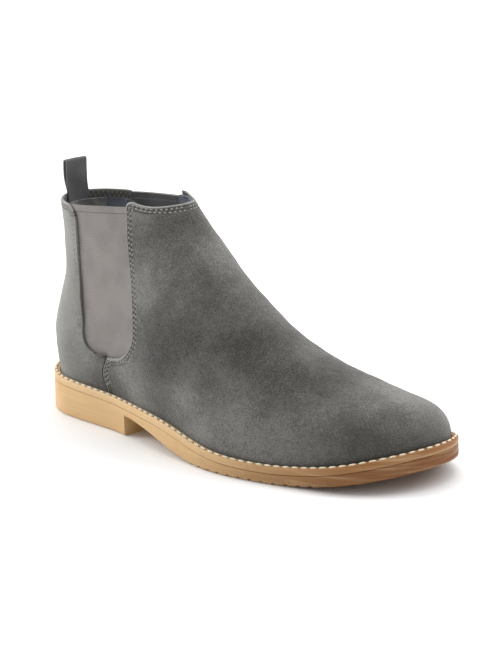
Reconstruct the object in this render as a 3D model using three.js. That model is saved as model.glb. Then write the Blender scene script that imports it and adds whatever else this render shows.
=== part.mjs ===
// Chelsea boot for a right foot, built up from its separate pieces.
// Millimetres. +X runs to the toe, +Y to the inner ankle, +Z up, and the boot stands on z = 0.
import * as THREE from "three";
import { mergeVertices } from "three/addons/utils/BufferGeometryUtils.js";

// ---- the foot shape (last) that everything is built round ----
const upperLength = 297; // heel to toe along the line where upper meets welt
const ballWidth = 101; // upper across the ball of the foot
const heelWidth = 69; // upper across the heel
const shaftWidth = 71; // leg of the boot across the ankle
const toeSwing = 31; // how far the toe tip turns inwards from the heel's centre line
const toeRound = 47.5; // length over which the toe closes to its tip
const toeFall = 24.8; // length over which the toe's top drops to the welt
const heelRound = 36; // length over which the heel opens to its full width
const toeClose = 2.3; // how squarely the toe closes, seen from above and from the side
const heelClose = 2.1;
const lateralBulge = 3.5; // how far the sides swell over the welt at the waist
const medialBulge = 8;
const bulgeRise = 32; // height over which the sides swell out
const crownSharpness = 2.5; // cross-section of the forefoot, from round (2) to boxy
const legSharpness = 2.4; // cross-section of the leg
const blendSharpness = 5; // how tightly forefoot and leg run into each other

// ---- heights above the ground ----
const seatHeight = 25.9; // top of the welt at the heel, waist, ball and toe
const waistHeight = 19.8;
const ballHeight = 11.2;
const toeHeight = 24.5;
const breastHeight = 12.5; // underside of the sole just in front of the heel
const toeSpring = 11.7; // underside of the sole at the toe tip
const collarBack = 137.8; // top edge of the upper at the back, at the elastic and at the front
const quarterCorner = 138.3;
const vampCorner = 149.2;
const collarFront = 146.2;
const collarDip = 2.3; // sag of the vamp's top edge between its corner and its front

// ---- layers, each thickness with the room left to the next layer ----
const suedeThickness = 1.5;
const stiffenerThickness = 1.0;
const goreThickness = 1.2;
const liningThickness = 0.8;
const gripThickness = 1.0;
const webbingThickness = 1.2;
const layerGap = 0.4;
const liningGap = 0.6; // room between the elastic and the lining, which bends more sharply
const seamGap = 0.4; // room between two pieces that meet edge to edge
const plateGap = 0.3; // room between two flat layers under the foot

// ---- sole and bottom ----
const heelLength = 98; // heel block along the ground
const treadStart = 178; // forefoot contact with the ground
const treadEnd = 226;
const weltOverhang = 4.2; // welt and sole beyond the upper
const weltThickness = 4.5;
const weltClearance = 0.5;
const soleBevel = 2;
const breastSlope = 1.5; // length over which the front face of the heel rises
const threadWidth = 1.3;
const threadHeight = 0.7;
const threadInset = 1.5; // thread from the welt's outer edge
const lastingMargin = 13; // upper turned under the foot
const fillerThickness = 1.2;
const shankLength = 120;
const shankWidth = 12;
const shankStart = 42;
const insoleThickness = 2;
const sockThickness = 3.5;
const insoleClearance = 0.4; // round the edge of the insole board
const sockClearance = 1.2; // round the edge of the sock, where the toe's lining leans in

// ---- elastic sides ----
const goreHalfWidth = 26;
const goreBottom = 46;
const goreCorner = 17; // height of the rounded lower end
const goreSquare = 0.72; // rounded lower end, from boxy (0) to round (1)
const goreLap = 6; // elastic hidden under the suede all round
const goreTilt = 2.5; // lower end higher at the front and lower at the back
const goreBackDrop = 0.6; // elastic below the suede corners at its top edge
const goreFrontDrop = 5.2;

// ---- heel grip, stiffeners and pull tab ----
const gripSpan = 0.52; // share of the quarters, from the back seam, that each piece covers
const counterSpan = 0.8;
const gripFoot = 0.3; // share of the height where the grip starts
const counterTop = 0.42; // share of the height where the counter ends
const toePuffSpan = 0.5;
const toePuffTop = 0.3;
const backSeam = 0.012; // half of the back seam's gap, as a share of a quarter
const tabWidth = 17;
const tabHeight = 22.5; // loop above its hinge line
const tabGap = 4.6; // finger gap inside the loop
const tabLift = 2.3; // hinge line above the collar
const tabTail = 14; // webbing sewn in below the collar
const tabStub = 0.5; // webbing that stands out of the seam below the hinge line
const tabShoulder = 9.5; // height over the hinge line where the loop is fully open

const { lerp, smoothstep, clamp } = THREE.MathUtils;

// Smooth curve y(x) through a few points, carried on straight past both ends.
function curveThrough(points) {
  const last = points.length - 1;
  const rise = (i, j) => (points[j][1] - points[i][1]) / (points[j][0] - points[i][0]);
  const slopes = points.map((_, i) => rise(Math.max(i - 1, 0), Math.min(i + 1, last)));
  return (x) => {
    if (x <= points[0][0]) return points[0][1] + slopes[0] * (x - points[0][0]);
    if (x >= points[last][0]) return points[last][1] + slopes[last] * (x - points[last][0]);
    const i = points.findIndex((p) => p[0] > x) - 1;
    const span = points[i + 1][0] - points[i][0];
    const t = (x - points[i][0]) / span;
    const blend = t * t * (3 - 2 * t);
    const bend = t * (1 - t) * span * ((1 - t) * slopes[i] - t * slopes[i + 1]);
    return lerp(points[i][1], points[i + 1][1], blend) + bend;
  };
}

// The same, with x given in shares of the upper's length.
function alongLength(points) {
  return curveThrough(points.map(([share, y]) => [share * upperLength, y]));
}

// Path through many [x, z] points, read by share of its length from 0 to 1.
function pathThrough(points) {
  const run = [0];
  for (let i = 1; i < points.length; i++) {
    run.push(run[i - 1] + Math.hypot(points[i][0] - points[i - 1][0], points[i][1] - points[i - 1][1]));
  }
  return (share) => {
    const want = share * run[run.length - 1];
    const i = clamp(run.findIndex((r) => r > want) - 1, 0, points.length - 2);
    const found = want >= run[run.length - 1] ? points.length - 2 : i;
    const t = (want - run[found]) / (run[found + 1] - run[found]);
    return [lerp(points[found][0], points[found + 1][0], t), lerp(points[found][1], points[found + 1][1], t)];
  };
}

const countTo = (n) => Array.from({ length: n + 1 }, (_, i) => i / n);

// ---- the last as a solid seen from the side: every (x, z) has a half width on each side ----
const seatLine = alongLength([
  [0, seatHeight],
  [0.13, seatHeight - 1.6],
  [0.3, seatHeight - 3.5],
  [0.47, waistHeight],
  [0.62, ballHeight + 1.2],
  [0.76, ballHeight],
  [0.88, lerp(ballHeight, toeHeight, 0.3)],
  [1, toeHeight],
]);
const instepLine = alongLength([
  [0.2, 223],
  [0.3, 183],
  [0.35, 160],
  [0.4, 143],
  [0.46, 126.5],
  [0.53, 108.5],
  [0.62, 87.9],
  [0.71, 69],
  [0.81, 55.6],
  [0.9, 49.2],
  [1, 46.5],
]);
const backLine = curveThrough([
  [20, 5.6],
  [30, 3.6],
  [42, -0.8],
  [56, -2.3],
  [72, 2.2],
  [92, 7.8],
  [112, 8.4],
  [132, 7.6],
  [150, 6.4],
  [170, 5],
]);
const centreLine = alongLength([
  [0, 0],
  [0.42, 0],
  [0.6, 0.14 * toeSwing],
  [0.8, 0.54 * toeSwing],
  [1, toeSwing],
]);
const shaftHalf = curveThrough([
  [20, 1.28 * shaftWidth],
  [45, 0.88 * shaftWidth],
  [60, 0.68 * shaftWidth],
  [80, 0.56 * shaftWidth],
  [100, 0.5 * shaftWidth],
  [130, 0.495 * shaftWidth],
  [165, 0.515 * shaftWidth],
]);
const lateralHalf = alongLength([
  [0, 0.435 * heelWidth],
  [0.07, 0.49 * heelWidth],
  [0.17, 0.5 * heelWidth],
  [0.29, 0.49 * heelWidth],
  [0.4, 0.38 * ballWidth],
  [0.52, 0.44 * ballWidth],
  [0.64, 0.5 * ballWidth],
  [0.74, 0.5 * ballWidth],
  [0.84, 0.467 * ballWidth],
  [1, 0.435 * ballWidth],
]);
const medialHalf = alongLength([
  [0, 0.435 * heelWidth],
  [0.07, 0.475 * heelWidth],
  [0.17, 0.485 * heelWidth],
  [0.29, 0.44 * heelWidth],
  [0.4, 0.315 * ballWidth],
  [0.52, 0.37 * ballWidth],
  [0.64, 0.462 * ballWidth],
  [0.74, 0.495 * ballWidth],
  [0.84, 0.467 * ballWidth],
  [1, 0.413 * ballWidth],
]);

// Height of the top of the foot, closed down to the welt over the toe.
function crownLine(x) {
  const fall = clamp((x - upperLength + toeFall) / toeFall, 0, 1);
  return lerp(seatLine(x), instepLine(x), Math.pow(1 - Math.pow(fall, toeClose), 0.48));
}

// Front of the foot at a height, found by halving.
function frontLine(z) {
  let near = 0.2 * upperLength;
  let far = upperLength;
  for (let i = 0; i < 28; i++) {
    const middle = (near + far) / 2;
    if (crownLine(middle) > z) near = middle;
    else far = middle;
  }
  return near;
}

// Roundness of the outline at the heel and the toe, from 0 at the tip to 1.
function endRound(x, z) {
  const fromHeel = clamp((x - backLine(z)) / heelRound, 0, 1);
  const intoToe = clamp((x - upperLength + toeRound) / toeRound, 0, 1);
  return Math.sqrt((1 - Math.pow(1 - fromHeel, heelClose)) * (1 - Math.pow(intoToe, toeClose)));
}

function halfWidth(x, z, side) {
  const floor = seatLine(x);
  const rise = Math.max(z - floor, 0);
  const share = clamp(rise / Math.max(crownLine(x) - floor, 1e-3), 0, 1);
  const swell = Math.exp(-Math.pow((x / upperLength - 0.4) / 0.14, 2)) * smoothstep(rise, 0, bulgeRise);
  const flat = side < 0 ? lateralHalf(x) + lateralBulge * swell : medialHalf(x) + medialBulge * swell;
  const foot = flat * endRound(x, z) * Math.sqrt(1 - Math.pow(share, crownSharpness));
  const front = frontLine(z);
  const reach = Math.abs(2 * x - front - backLine(z)) / (front - backLine(z));
  const leg = shaftHalf(z) * Math.sqrt(1 - Math.pow(clamp(reach, 0, 1), legSharpness));
  const shares = [foot, leg].map((width) => Math.pow(Math.max(width, 1e-6), -blendSharpness));
  return Math.pow(shares[0] + shares[1], -1 / blendSharpness);
}

function lastPoint(x, z, side) {
  const centre = centreLine(x) * (1 - smoothstep(z, 30, 120));
  return new THREE.Vector3(x, centre + side * halfWidth(x, z, side), z);
}

// ---- the elastic's outline and the side seam below it, seen from the side ----
const goreAxis = curveThrough(
  [
    [46, 0.255],
    [62, 0.259],
    [72, 0.2545],
    [96, 0.2374],
    [119, 0.2276],
    [146, 0.218],
  ].map(([z, share]) => [z, share * upperLength]),
);
const goreHalf = curveThrough([
  [46, goreHalfWidth],
  [96, 1.02 * goreHalfWidth],
  [119, 0.95 * goreHalfWidth],
  [146, 0.87 * goreHalfWidth],
]);
const sideSeam = curveThrough([
  [0, 0.255 * upperLength],
  [0.5, 0.24 * upperLength],
  [1, goreAxis(goreBottom)],
]);

// Outline of the elastic from the middle of its lower end up to a top corner.
function goreEdge(direction, grow, top) {
  const bottom = goreBottom - grow;
  const tilt = direction * goreTilt;
  const corner = countTo(14).map((share) => {
    const angle = (share * Math.PI) / 2;
    const z = bottom + (goreCorner + grow) * (1 - Math.cos(angle)) + tilt * Math.sin(angle);
    return [goreAxis(z) + direction * (goreHalf(z) + grow) * Math.pow(Math.sin(angle), goreSquare), z];
  });
  const straight = countTo(20).slice(1).map((share) => {
    const z = lerp(goreBottom + goreCorner + tilt, top, share);
    return [goreAxis(z) + direction * (goreHalf(z) + grow), z];
  });
  return [...corner, ...straight];
}

// Front or back edge of a suede piece: up the side seam, then round the elastic.
function suedeEdge(direction, top) {
  const shift = (direction * seamGap) / 2;
  const seam = countTo(10).map((share) => {
    const x = sideSeam(share) + shift;
    return [x, lerp(seatLine(x), goreBottom, share)];
  });
  return pathThrough([...seam, ...goreEdge(direction, 0, top).slice(1)]);
}

const collarFrontX = frontLine(collarFront);
const ridgePath = pathThrough([
  ...countTo(60).map((share) => upperLength - toeFall * (1 - Math.cos((share * Math.PI) / 2))),
  ...countTo(160).slice(1).map((share) => lerp(upperLength - toeFall, collarFrontX, share)),
].map((x) => [x, crownLine(x)]));
const backFoot = backLine(seatHeight);
const backPath = pathThrough(countTo(240).map((share) => {
  const z = lerp(seatLine(backFoot), collarBack, share);
  return [backLine(z), z];
}));
const vampEdge = suedeEdge(1, vampCorner);
const quarterEdge = suedeEdge(-1, quarterCorner);

// Point of a wrapped piece: s runs from its lateral edge (-1) over its middle line (0)
// to its medial edge (1), t from the welt (0) to the collar (1).
function wrapped(middle, edge, dip) {
  return (s, t) => {
    const reach = 1 - Math.cos((Math.abs(s) * Math.PI) / 2);
    const [x, z] = [0, 1].map((axis) => lerp(middle(t)[axis], edge(t)[axis], reach));
    const [footX, footZ] = [0, 1].map((axis) => lerp(middle(0)[axis], edge(0)[axis], reach));
    const settle = (seatLine(footX) - footZ) * Math.pow(1 - t, 3);
    const sag = dip * Math.sin(Math.PI * reach) * Math.pow(t, 6);
    return lastPoint(x, z + settle - sag, s < 0 ? -1 : 1);
  };
}
const vampPatch = wrapped(ridgePath, vampEdge, collarDip);
const quarterPatch = wrapped(backPath, quarterEdge, 0);

// Point of the elastic on one side: s from its back edge to its front edge, t upwards.
function gorePatch(side) {
  const back = pathThrough(goreEdge(-1, goreLap, quarterCorner - goreBackDrop).slice(6));
  const front = pathThrough(goreEdge(1, goreLap, vampCorner - goreFrontDrop).slice(6));
  return (s, t) => {
    const [x, z] = [0, 1].map((axis) => lerp(back(t)[axis], front(t)[axis], s));
    return lastPoint(x, z, side);
  };
}

// ---- mesh building ----

// Closed geometry with its faces pointing out, whichever way its faces were listed.
function closedGeometry(points, faces) {
  const raw = new THREE.BufferGeometry();
  raw.setAttribute("position", new THREE.Float32BufferAttribute(points.flatMap((p) => p.toArray()), 3));
  raw.setIndex(faces);
  const merged = mergeVertices(raw, 1e-3);
  const position = merged.getAttribute("position");
  const corner = (i) => new THREE.Vector3().fromBufferAttribute(position, i);
  const kept = [];
  let volume = 0;
  for (let i = 0; i < merged.index.count; i += 3) {
    const [a, b, c] = [0, 1, 2].map((k) => merged.index.getX(i + k));
    if (a === b || b === c || c === a) continue;
    kept.push(a, b, c);
    volume += corner(a).dot(corner(b).cross(corner(c)));
  }
  if (volume < 0) kept.reverse();
  merged.setIndex(kept);
  merged.computeVertexNormals();
  return merged;
}

// Solid between two grids of points that have the same rows and columns.
function slab(outer, inner) {
  const rows = outer.length;
  const columns = outer[0].length;
  const at = (layer, i, j) => (layer * rows + i) * columns + j;
  const faces = [];
  const quad = (a, b, c, d) => faces.push(a, b, c, a, c, d);
  for (let i = 0; i < rows - 1; i++) {
    for (let j = 0; j < columns - 1; j++) {
      quad(at(0, i, j), at(0, i, j + 1), at(0, i + 1, j + 1), at(0, i + 1, j));
      quad(at(1, i, j), at(1, i + 1, j), at(1, i + 1, j + 1), at(1, i, j + 1));
    }
    quad(at(0, i, 0), at(0, i + 1, 0), at(1, i + 1, 0), at(1, i, 0));
    quad(at(0, i + 1, columns - 1), at(0, i, columns - 1), at(1, i, columns - 1), at(1, i + 1, columns - 1));
  }
  for (let j = 0; j < columns - 1; j++) {
    quad(at(0, 0, j + 1), at(0, 0, j), at(1, 0, j), at(1, 0, j + 1));
    quad(at(0, rows - 1, j), at(0, rows - 1, j + 1), at(1, rows - 1, j + 1), at(1, rows - 1, j));
  }
  return closedGeometry([...outer.flat(), ...inner.flat()], faces);
}

// Ring that runs round a closed path, from its cross-sections in order.
function ring(sections) {
  const sides = sections[0].length;
  const faces = [];
  sections.forEach((_, i) => {
    const next = (i + 1) % sections.length;
    for (let j = 0; j < sides; j++) {
      const k = (j + 1) % sides;
      const [a, b, c, d] = [i * sides + j, next * sides + j, next * sides + k, i * sides + k];
      faces.push(a, b, c, a, c, d);
    }
  });
  return closedGeometry(sections.flat(), faces);
}

// Outward normal of the last at a side-view place.
function lastNormal(x, z, side) {
  const step = 0.05;
  const alongX = lastPoint(x + step, z, side).sub(lastPoint(x - step, z, side));
  const alongZ = lastPoint(x, z + step, side).sub(lastPoint(x, z - step, side));
  return alongX.cross(alongZ).normalize().multiplyScalar(-side);
}

// Outward normal of a patch, from neighbouring points, or from the last where the
// patch's two directions nearly run together beside its edge.
function outwardNormal(patch, s, t, facing) {
  const step = 2e-3;
  const skewLimit = 0.35;
  const alongS = patch(s + step, t).sub(patch(s - step, t)).normalize();
  const alongT = patch(s, Math.min(t + step, 1)).sub(patch(s, Math.max(t - step, 0))).normalize();
  const normal = alongS.cross(alongT);
  const besideEdge = Math.abs(s) > 0.5;
  if (!besideEdge || normal.length() > skewLimit) return normal.normalize().multiplyScalar(facing);
  const point = patch(s, t);
  return lastNormal(point.x, point.z, s < 0 ? -1 : 1);
}

// Layer of a patch between two depths below its surface. With a turn, its lower edge
// goes down past the welt and in under the foot, between two levels below the welt's top.
function layer(patch, sValues, tValues, depth, thickness, facing, turn) {
  const surface = (below) => tValues.map((t) => sValues.map((s) => {
    const normal = outwardNormal(patch, s, t, facing);
    return patch(s, t).addScaledVector(normal, -below);
  }));
  const under = (below, level) => [turn ? turn.reach : 0, below].map((inset) => sValues.map((s) => {
    const normal = outwardNormal(patch, s, 0, facing).setZ(0).normalize();
    const point = patch(s, 0).addScaledVector(normal, -inset);
    return point.setZ(seatLine(point.x) - level);
  }));
  const outer = surface(depth);
  const inner = surface(depth + thickness);
  if (!turn) return slab(outer, inner);
  const lower = under(depth, turn.level);
  const upper = under(depth + thickness, turn.level - thickness);
  return slab([...lower, ...outer], [...upper, ...inner]);
}

// Outline round the foot at the welt, from heel to toe on the lateral side and back.
function outline(angle, outset) {
  const at = (a) => {
    const turn = ((a % (2 * Math.PI)) + 2 * Math.PI) % (2 * Math.PI);
    const side = turn <= Math.PI ? -1 : 1;
    const x = lerp(backFoot, upperLength, (1 - Math.cos(turn)) / 2);
    return lastPoint(x, seatLine(x), side);
  };
  const step = 1e-2;
  const along = at(angle + step).sub(at(angle - step));
  const normal = new THREE.Vector3(along.y, -along.x, 0).normalize();
  return at(angle).addScaledVector(normal, outset);
}

// Stations along the foot: matching points of the lateral and medial outline.
function stations(angles, outset) {
  return angles.map((angle) => [outline(angle, outset), outline(-angle, outset)]);
}

// Flat layer under the foot whose top and bottom keep their distance below the welt's top.
function plate(outset, top, bottom, count) {
  const rows = stations(countTo(count).map((share) => share * Math.PI), outset);
  const face = (level) => rows.map(([lateral, medial]) => countTo(4).map((share) => {
    const point = lateral.clone().lerp(medial, share);
    return point.setZ(seatLine(point.x) - level);
  }));
  return slab(face(top), face(bottom));
}

// ---- the pieces ----
const wrapColumns = 18; // columns on each side of a wrapped piece
const upperRows = countTo(16).map((share) => Math.pow(share, 1.35));
const wholeWrap = countTo(2 * wrapColumns).map((share) => 2 * share - 1);
const spanOf = (share, count) => countTo(count).map((step) => share * (2 * step - 1));

const suedeTurn = { reach: lastingMargin, level: weltThickness };
const liningDepth = suedeThickness + layerGap + goreThickness + liningGap;
const liningTurn = { reach: lastingMargin, level: weltThickness - suedeThickness - plateGap };
const stiffenerDepth = suedeThickness + layerGap;
const gripDepth = liningDepth + liningThickness + layerGap;

function vamp() {
  return layer(vampPatch, wholeWrap, upperRows, 0, suedeThickness, 1, suedeTurn);
}

function vampLining() {
  return layer(vampPatch, wholeWrap, upperRows, liningDepth, liningThickness, 1, liningTurn);
}

function toePuff() {
  const columns = wholeWrap.filter((s) => Math.abs(s) <= toePuffSpan);
  const rows = upperRows.filter((t) => t < toePuffTop);
  return layer(vampPatch, columns, rows, stiffenerDepth, stiffenerThickness, 1);
}

const quarterHalf = countTo(14);

function quarterColumns(side) {
  const columns = quarterHalf.map((share) => lerp(backSeam, 1, share));
  return side < 0 ? columns.map((s) => -s).reverse() : columns;
}

function quarter(side) {
  return layer(quarterPatch, quarterColumns(side), upperRows, 0, suedeThickness, -1, suedeTurn);
}

function quarterLining(side) {
  return layer(quarterPatch, quarterColumns(side), upperRows, liningDepth, liningThickness, -1, liningTurn);
}

function heelCounter() {
  const rows = upperRows.filter((t) => t < counterTop);
  return layer(quarterPatch, spanOf(counterSpan, 14), rows, stiffenerDepth, stiffenerThickness, -1);
}

function heelGrip() {
  const rows = upperRows.filter((t) => t > gripFoot);
  return layer(quarterPatch, spanOf(gripSpan, 10), rows, gripDepth, gripThickness, -1);
}

function gore(side) {
  const rows = countTo(12);
  const columns = countTo(8);
  return layer(gorePatch(side), columns, rows, suedeThickness + layerGap, goreThickness, side < 0 ? 1 : -1);
}

// Underside of the sole: heel flat, step up at the heel breast, ball flat, toe spring.
function groundLine(x) {
  if (x <= heelLength) return 0;
  const waist = breastHeight * (1 - smoothstep(x, heelLength, treadStart));
  const spring = toeSpring * Math.pow(clamp((x - treadEnd) / (upperLength - treadEnd), 0, 1), 1.8);
  return waist + spring;
}

// Angles of the sole's stations, with a close pair at the front face of the heel.
function soleAngles() {
  const angleAt = (x) => Math.acos(1 - (2 * (x - backFoot)) / (upperLength - backFoot));
  const breast = [angleAt(heelLength), angleAt(heelLength + breastSlope)];
  const clear = 0.03;
  const even = countTo(38).map((share) => share * Math.PI);
  const others = even.filter((a) => a < breast[0] - clear || a > breast[1] + clear);
  return [...others, ...breast].sort((a, b) => a - b);
}

function outsole() {
  const angles = soleAngles();
  const stationX = (angle) => lerp(backFoot, upperLength, (1 - Math.cos(angle)) / 2);
  const wide = stations(angles, weltOverhang);
  const narrow = stations(angles, weltOverhang - soleBevel);
  const top = wide.map(([lateral, medial], i) => {
    const ground = groundLine(stationX(angles[i]) - 0.01);
    const across = countTo(3).map((share) => {
      const point = lateral.clone().lerp(medial, share);
      return point.setZ(seatLine(point.x) - weltThickness - plateGap);
    });
    const foot = [lateral, medial].map((point) => point.clone().setZ(ground + soleBevel));
    return [foot[0], ...across, foot[1]];
  });
  const bottom = narrow.map(([lateral, medial], i) => {
    const ground = groundLine(stationX(angles[i]) - 0.01);
    const across = countTo(3).map((share) => lateral.clone().lerp(medial, share).setZ(ground));
    const foot = wide[i].map((point) => point.clone().setZ(ground + soleBevel));
    return [foot[0], ...across, foot[1]];
  });
  return slab(top, bottom);
}

const ringSteps = 88;

function roundFoot(section) {
  return ring(countTo(ringSteps).slice(1).map((share) => section(2 * Math.PI * (share - 0.5 / ringSteps))));
}

// Point beside the foot outline, at a height measured from the welt's top.
function besideFoot(angle, outset, level) {
  const point = outline(angle, outset);
  return point.setZ(seatLine(point.x) + level);
}

function welt() {
  return roundFoot((angle) => [
    besideFoot(angle, weltClearance, 0),
    besideFoot(angle, weltOverhang, 0),
    besideFoot(angle, weltOverhang, -weltThickness),
    besideFoot(angle, weltClearance, -weltThickness),
  ]);
}

function weltThread() {
  const out = weltOverhang - threadInset;
  return roundFoot((angle) => [
    besideFoot(angle, out - threadWidth / 2, plateGap),
    besideFoot(angle, out + threadWidth / 2, plateGap),
    besideFoot(angle, out, plateGap + threadHeight),
  ]);
}

const fillerTop = weltThickness - fillerThickness;
const insoleUnder = weltThickness - suedeThickness - liningThickness - 2 * plateGap;
const insoleTop = insoleUnder - insoleThickness;
const insoleInset = liningDepth + liningThickness + insoleClearance;
const sockInset = liningDepth + liningThickness + sockClearance;

function bottomFiller() {
  return plate(-lastingMargin - plateGap, fillerTop, weltThickness, 26);
}

function shank() {
  const face = (level) => countTo(14).map((share) => {
    const x = shankStart + share * shankLength;
    return [-0.5, 0.5].map((offset) => {
      return new THREE.Vector3(x, centreLine(x) + offset * shankWidth, seatLine(x) - level);
    });
  });
  return slab(face(insoleUnder + plateGap), face(fillerTop - plateGap));
}

function insoleBoard() {
  return plate(-insoleInset, insoleTop, insoleUnder, 30);
}

function sockLining() {
  return plate(-sockInset, insoleTop - plateGap - sockThickness, insoleTop - plateGap, 30);
}

// The pull tab's hinge line, where the webbing leaves the collar at the back.
const tabDepth = suedeThickness + layerGap + webbingThickness / 2;
const tabHinge = new THREE.Vector3(backLine(collarBack) + tabDepth, 0, collarBack + tabLift);

// Drop-shaped outline of the loop seen from the side, the hinge line at its origin.
function loopOutline(half, foldHeight, foot) {
  const fold = countTo(8).map((share) => {
    const angle = share * Math.PI;
    return [half * Math.cos(angle), foldHeight + half * Math.sin(angle)];
  });
  const shoulder = [[half, tabShoulder], [half * 0.8, tabShoulder / 2]];
  const back = shoulder.map(([x, z]) => [-x, z]);
  const points = [...fold, ...back, ...foot, ...shoulder.reverse()];
  return points.map(([x, z]) => new THREE.Vector2(x, z));
}

// Loop of webbing: a band that closes to its hinge line.
function pullTab() {
  const foldHeight = tabHeight - webbingThickness - tabGap / 2;
  const [wide, low] = [webbingThickness, 0.6 * webbingThickness];
  const foot = [[-wide, 0], [-low, -wide], [low, -wide], [wide, 0]];
  const shape = new THREE.Shape(loopOutline(tabGap / 2 + webbingThickness, foldHeight, foot));
  shape.holes.push(new THREE.Path(loopOutline(tabGap / 2, foldHeight, [[0, 2]])));
  const solid = new THREE.ExtrudeGeometry(shape, { depth: tabWidth, bevelEnabled: false, steps: 1 });
  solid.rotateX(Math.PI / 2);
  solid.translate(tabHinge.x, tabHinge.y + tabWidth / 2, tabHinge.z);
  solid.deleteAttribute("normal");
  solid.deleteAttribute("uv");
  return mergeVertices(solid, 1e-3);
}

// Point on the back of the leg beside its middle line, its x found by halving.
function backPoint(y, z) {
  const side = Math.sign(y) || 1;
  let near = backLine(z);
  let far = near + heelRound;
  for (let i = 0; i < 28; i++) {
    const middle = (near + far) / 2;
    if (halfWidth(middle, z, side) < Math.abs(y)) near = middle;
    else far = middle;
  }
  return new THREE.Vector3(near, y, z);
}

// The loop's two ends, sewn in between the suede and the lining.
function pullTabTails() {
  const patch = (s, t) => backPoint((s * tabWidth) / 2, lerp(collarBack - tabTail, collarBack + tabStub, t));
  const depth = suedeThickness + layerGap;
  return layer(patch, spanOf(1, 8), countTo(3), depth, webbingThickness, -1);
}

// ---- finishes ----
const suede = { color: 0x7b7b77, roughness: 0.95, metalness: 0 };
const elastic = { color: 0x958b88, roughness: 0.85, metalness: 0 };
const webbing = { color: 0x505054, roughness: 0.8, metalness: 0 };
const lining = { color: 0x525a63, roughness: 0.85, metalness: 0 };
const gumRubber = { color: 0xcba46e, roughness: 0.5, metalness: 0 };
const thread = { color: 0xf6e8c8, roughness: 0.7, metalness: 0 };
const board = { color: 0xa88c66, roughness: 0.9, metalness: 0 };
const cork = { color: 0x8a6b48, roughness: 0.95, metalness: 0 };
const stiffener = { color: 0xd8d2c4, roughness: 0.8, metalness: 0 };
const steel = { color: 0x9a9ca0, roughness: 0.4, metalness: 1 };

const pieces = [
  ["outsole", outsole(), gumRubber],
  ["welt", welt(), gumRubber],
  ["welt_thread", weltThread(), thread],
  ["bottom_filler", bottomFiller(), cork],
  ["shank", shank(), steel],
  ["insole_board", insoleBoard(), board],
  ["sock_lining", sockLining(), lining],
  ["vamp", vamp(), suede],
  ["vamp_lining", vampLining(), lining],
  ["toe_puff", toePuff(), stiffener],
  ["quarter_lateral", quarter(-1), suede],
  ["quarter_medial", quarter(1), suede],
  ["quarter_lining_lateral", quarterLining(-1), lining],
  ["quarter_lining_medial", quarterLining(1), lining],
  ["heel_grip", heelGrip(), suede],
  ["heel_counter", heelCounter(), stiffener],
  ["gore_lateral", gore(-1), elastic],
  ["gore_medial", gore(1), elastic],
  ["pull_tab_tails", pullTabTails(), webbing],
  ["pull_tab", pullTab(), webbing],
];

const boot = new THREE.Group();
for (const [name, geometry, finish] of pieces) {
  const mesh = new THREE.Mesh(geometry, new THREE.MeshStandardMaterial(finish));
  mesh.name = name;
  boot.add(mesh);
}

// The part's origin is under the middle of its box.
const box = new THREE.Box3().setFromObject(boot);
boot.position.set(-(box.min.x + box.max.x) / 2, -(box.min.y + box.max.y) / 2, -box.min.z);

export default boot;
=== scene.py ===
# Chelsea boot for a right foot: suede upper, elastic sides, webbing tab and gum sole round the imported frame
import math
import bpy
import numpy as np
from mathutils import Matrix, Vector


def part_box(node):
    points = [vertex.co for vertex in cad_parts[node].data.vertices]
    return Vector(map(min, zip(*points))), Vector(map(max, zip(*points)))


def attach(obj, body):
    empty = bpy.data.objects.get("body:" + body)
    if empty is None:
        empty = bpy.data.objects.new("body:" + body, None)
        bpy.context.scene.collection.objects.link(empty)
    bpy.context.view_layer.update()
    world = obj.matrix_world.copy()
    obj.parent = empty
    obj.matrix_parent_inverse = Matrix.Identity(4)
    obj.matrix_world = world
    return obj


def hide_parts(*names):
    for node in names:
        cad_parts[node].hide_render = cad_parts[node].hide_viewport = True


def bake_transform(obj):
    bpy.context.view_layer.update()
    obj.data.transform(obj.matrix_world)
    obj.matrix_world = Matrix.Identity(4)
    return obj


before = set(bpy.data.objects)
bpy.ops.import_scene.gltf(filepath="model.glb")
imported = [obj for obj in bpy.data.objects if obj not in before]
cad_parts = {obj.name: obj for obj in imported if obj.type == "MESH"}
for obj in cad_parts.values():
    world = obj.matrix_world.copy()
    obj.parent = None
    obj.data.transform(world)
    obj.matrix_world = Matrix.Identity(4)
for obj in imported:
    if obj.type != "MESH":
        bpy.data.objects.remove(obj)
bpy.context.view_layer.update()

print("frame loaded,", len(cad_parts), "nodes")


# ---------- the foot shape, in millimetres, heel at x = 0 and ground at z = 0 ----------

foot = {
    "length": 297, "ball": 101, "heel": 69, "shaft": 71,
    "toeSwing": 31, "toeRound": 47.5, "toeFall": 24.8, "heelRound": 36,
    "bulgeOut": 3.5, "bulgeIn": 8, "bulgeRise": 32,
    "seatZ": 25.9, "waistZ": 19.8, "ballZ": 11.2, "toeZ": 24.5,
    "collarBack": 137.8, "quarterTop": 138.3, "vampTop": 149.2, "collarFront": 146.2, "collarDip": 2.3,
    "crown": 2.5, "leg": 2.4, "blend": 5,
}
gore = {
    "half": 26, "bottom": 46, "corner": 17, "square": 0.72, "tilt": 2.5, "lap": 6,
    "backDrop": 0.6, "frontDrop": 5.2, "seamGap": 0.4,
}


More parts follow.
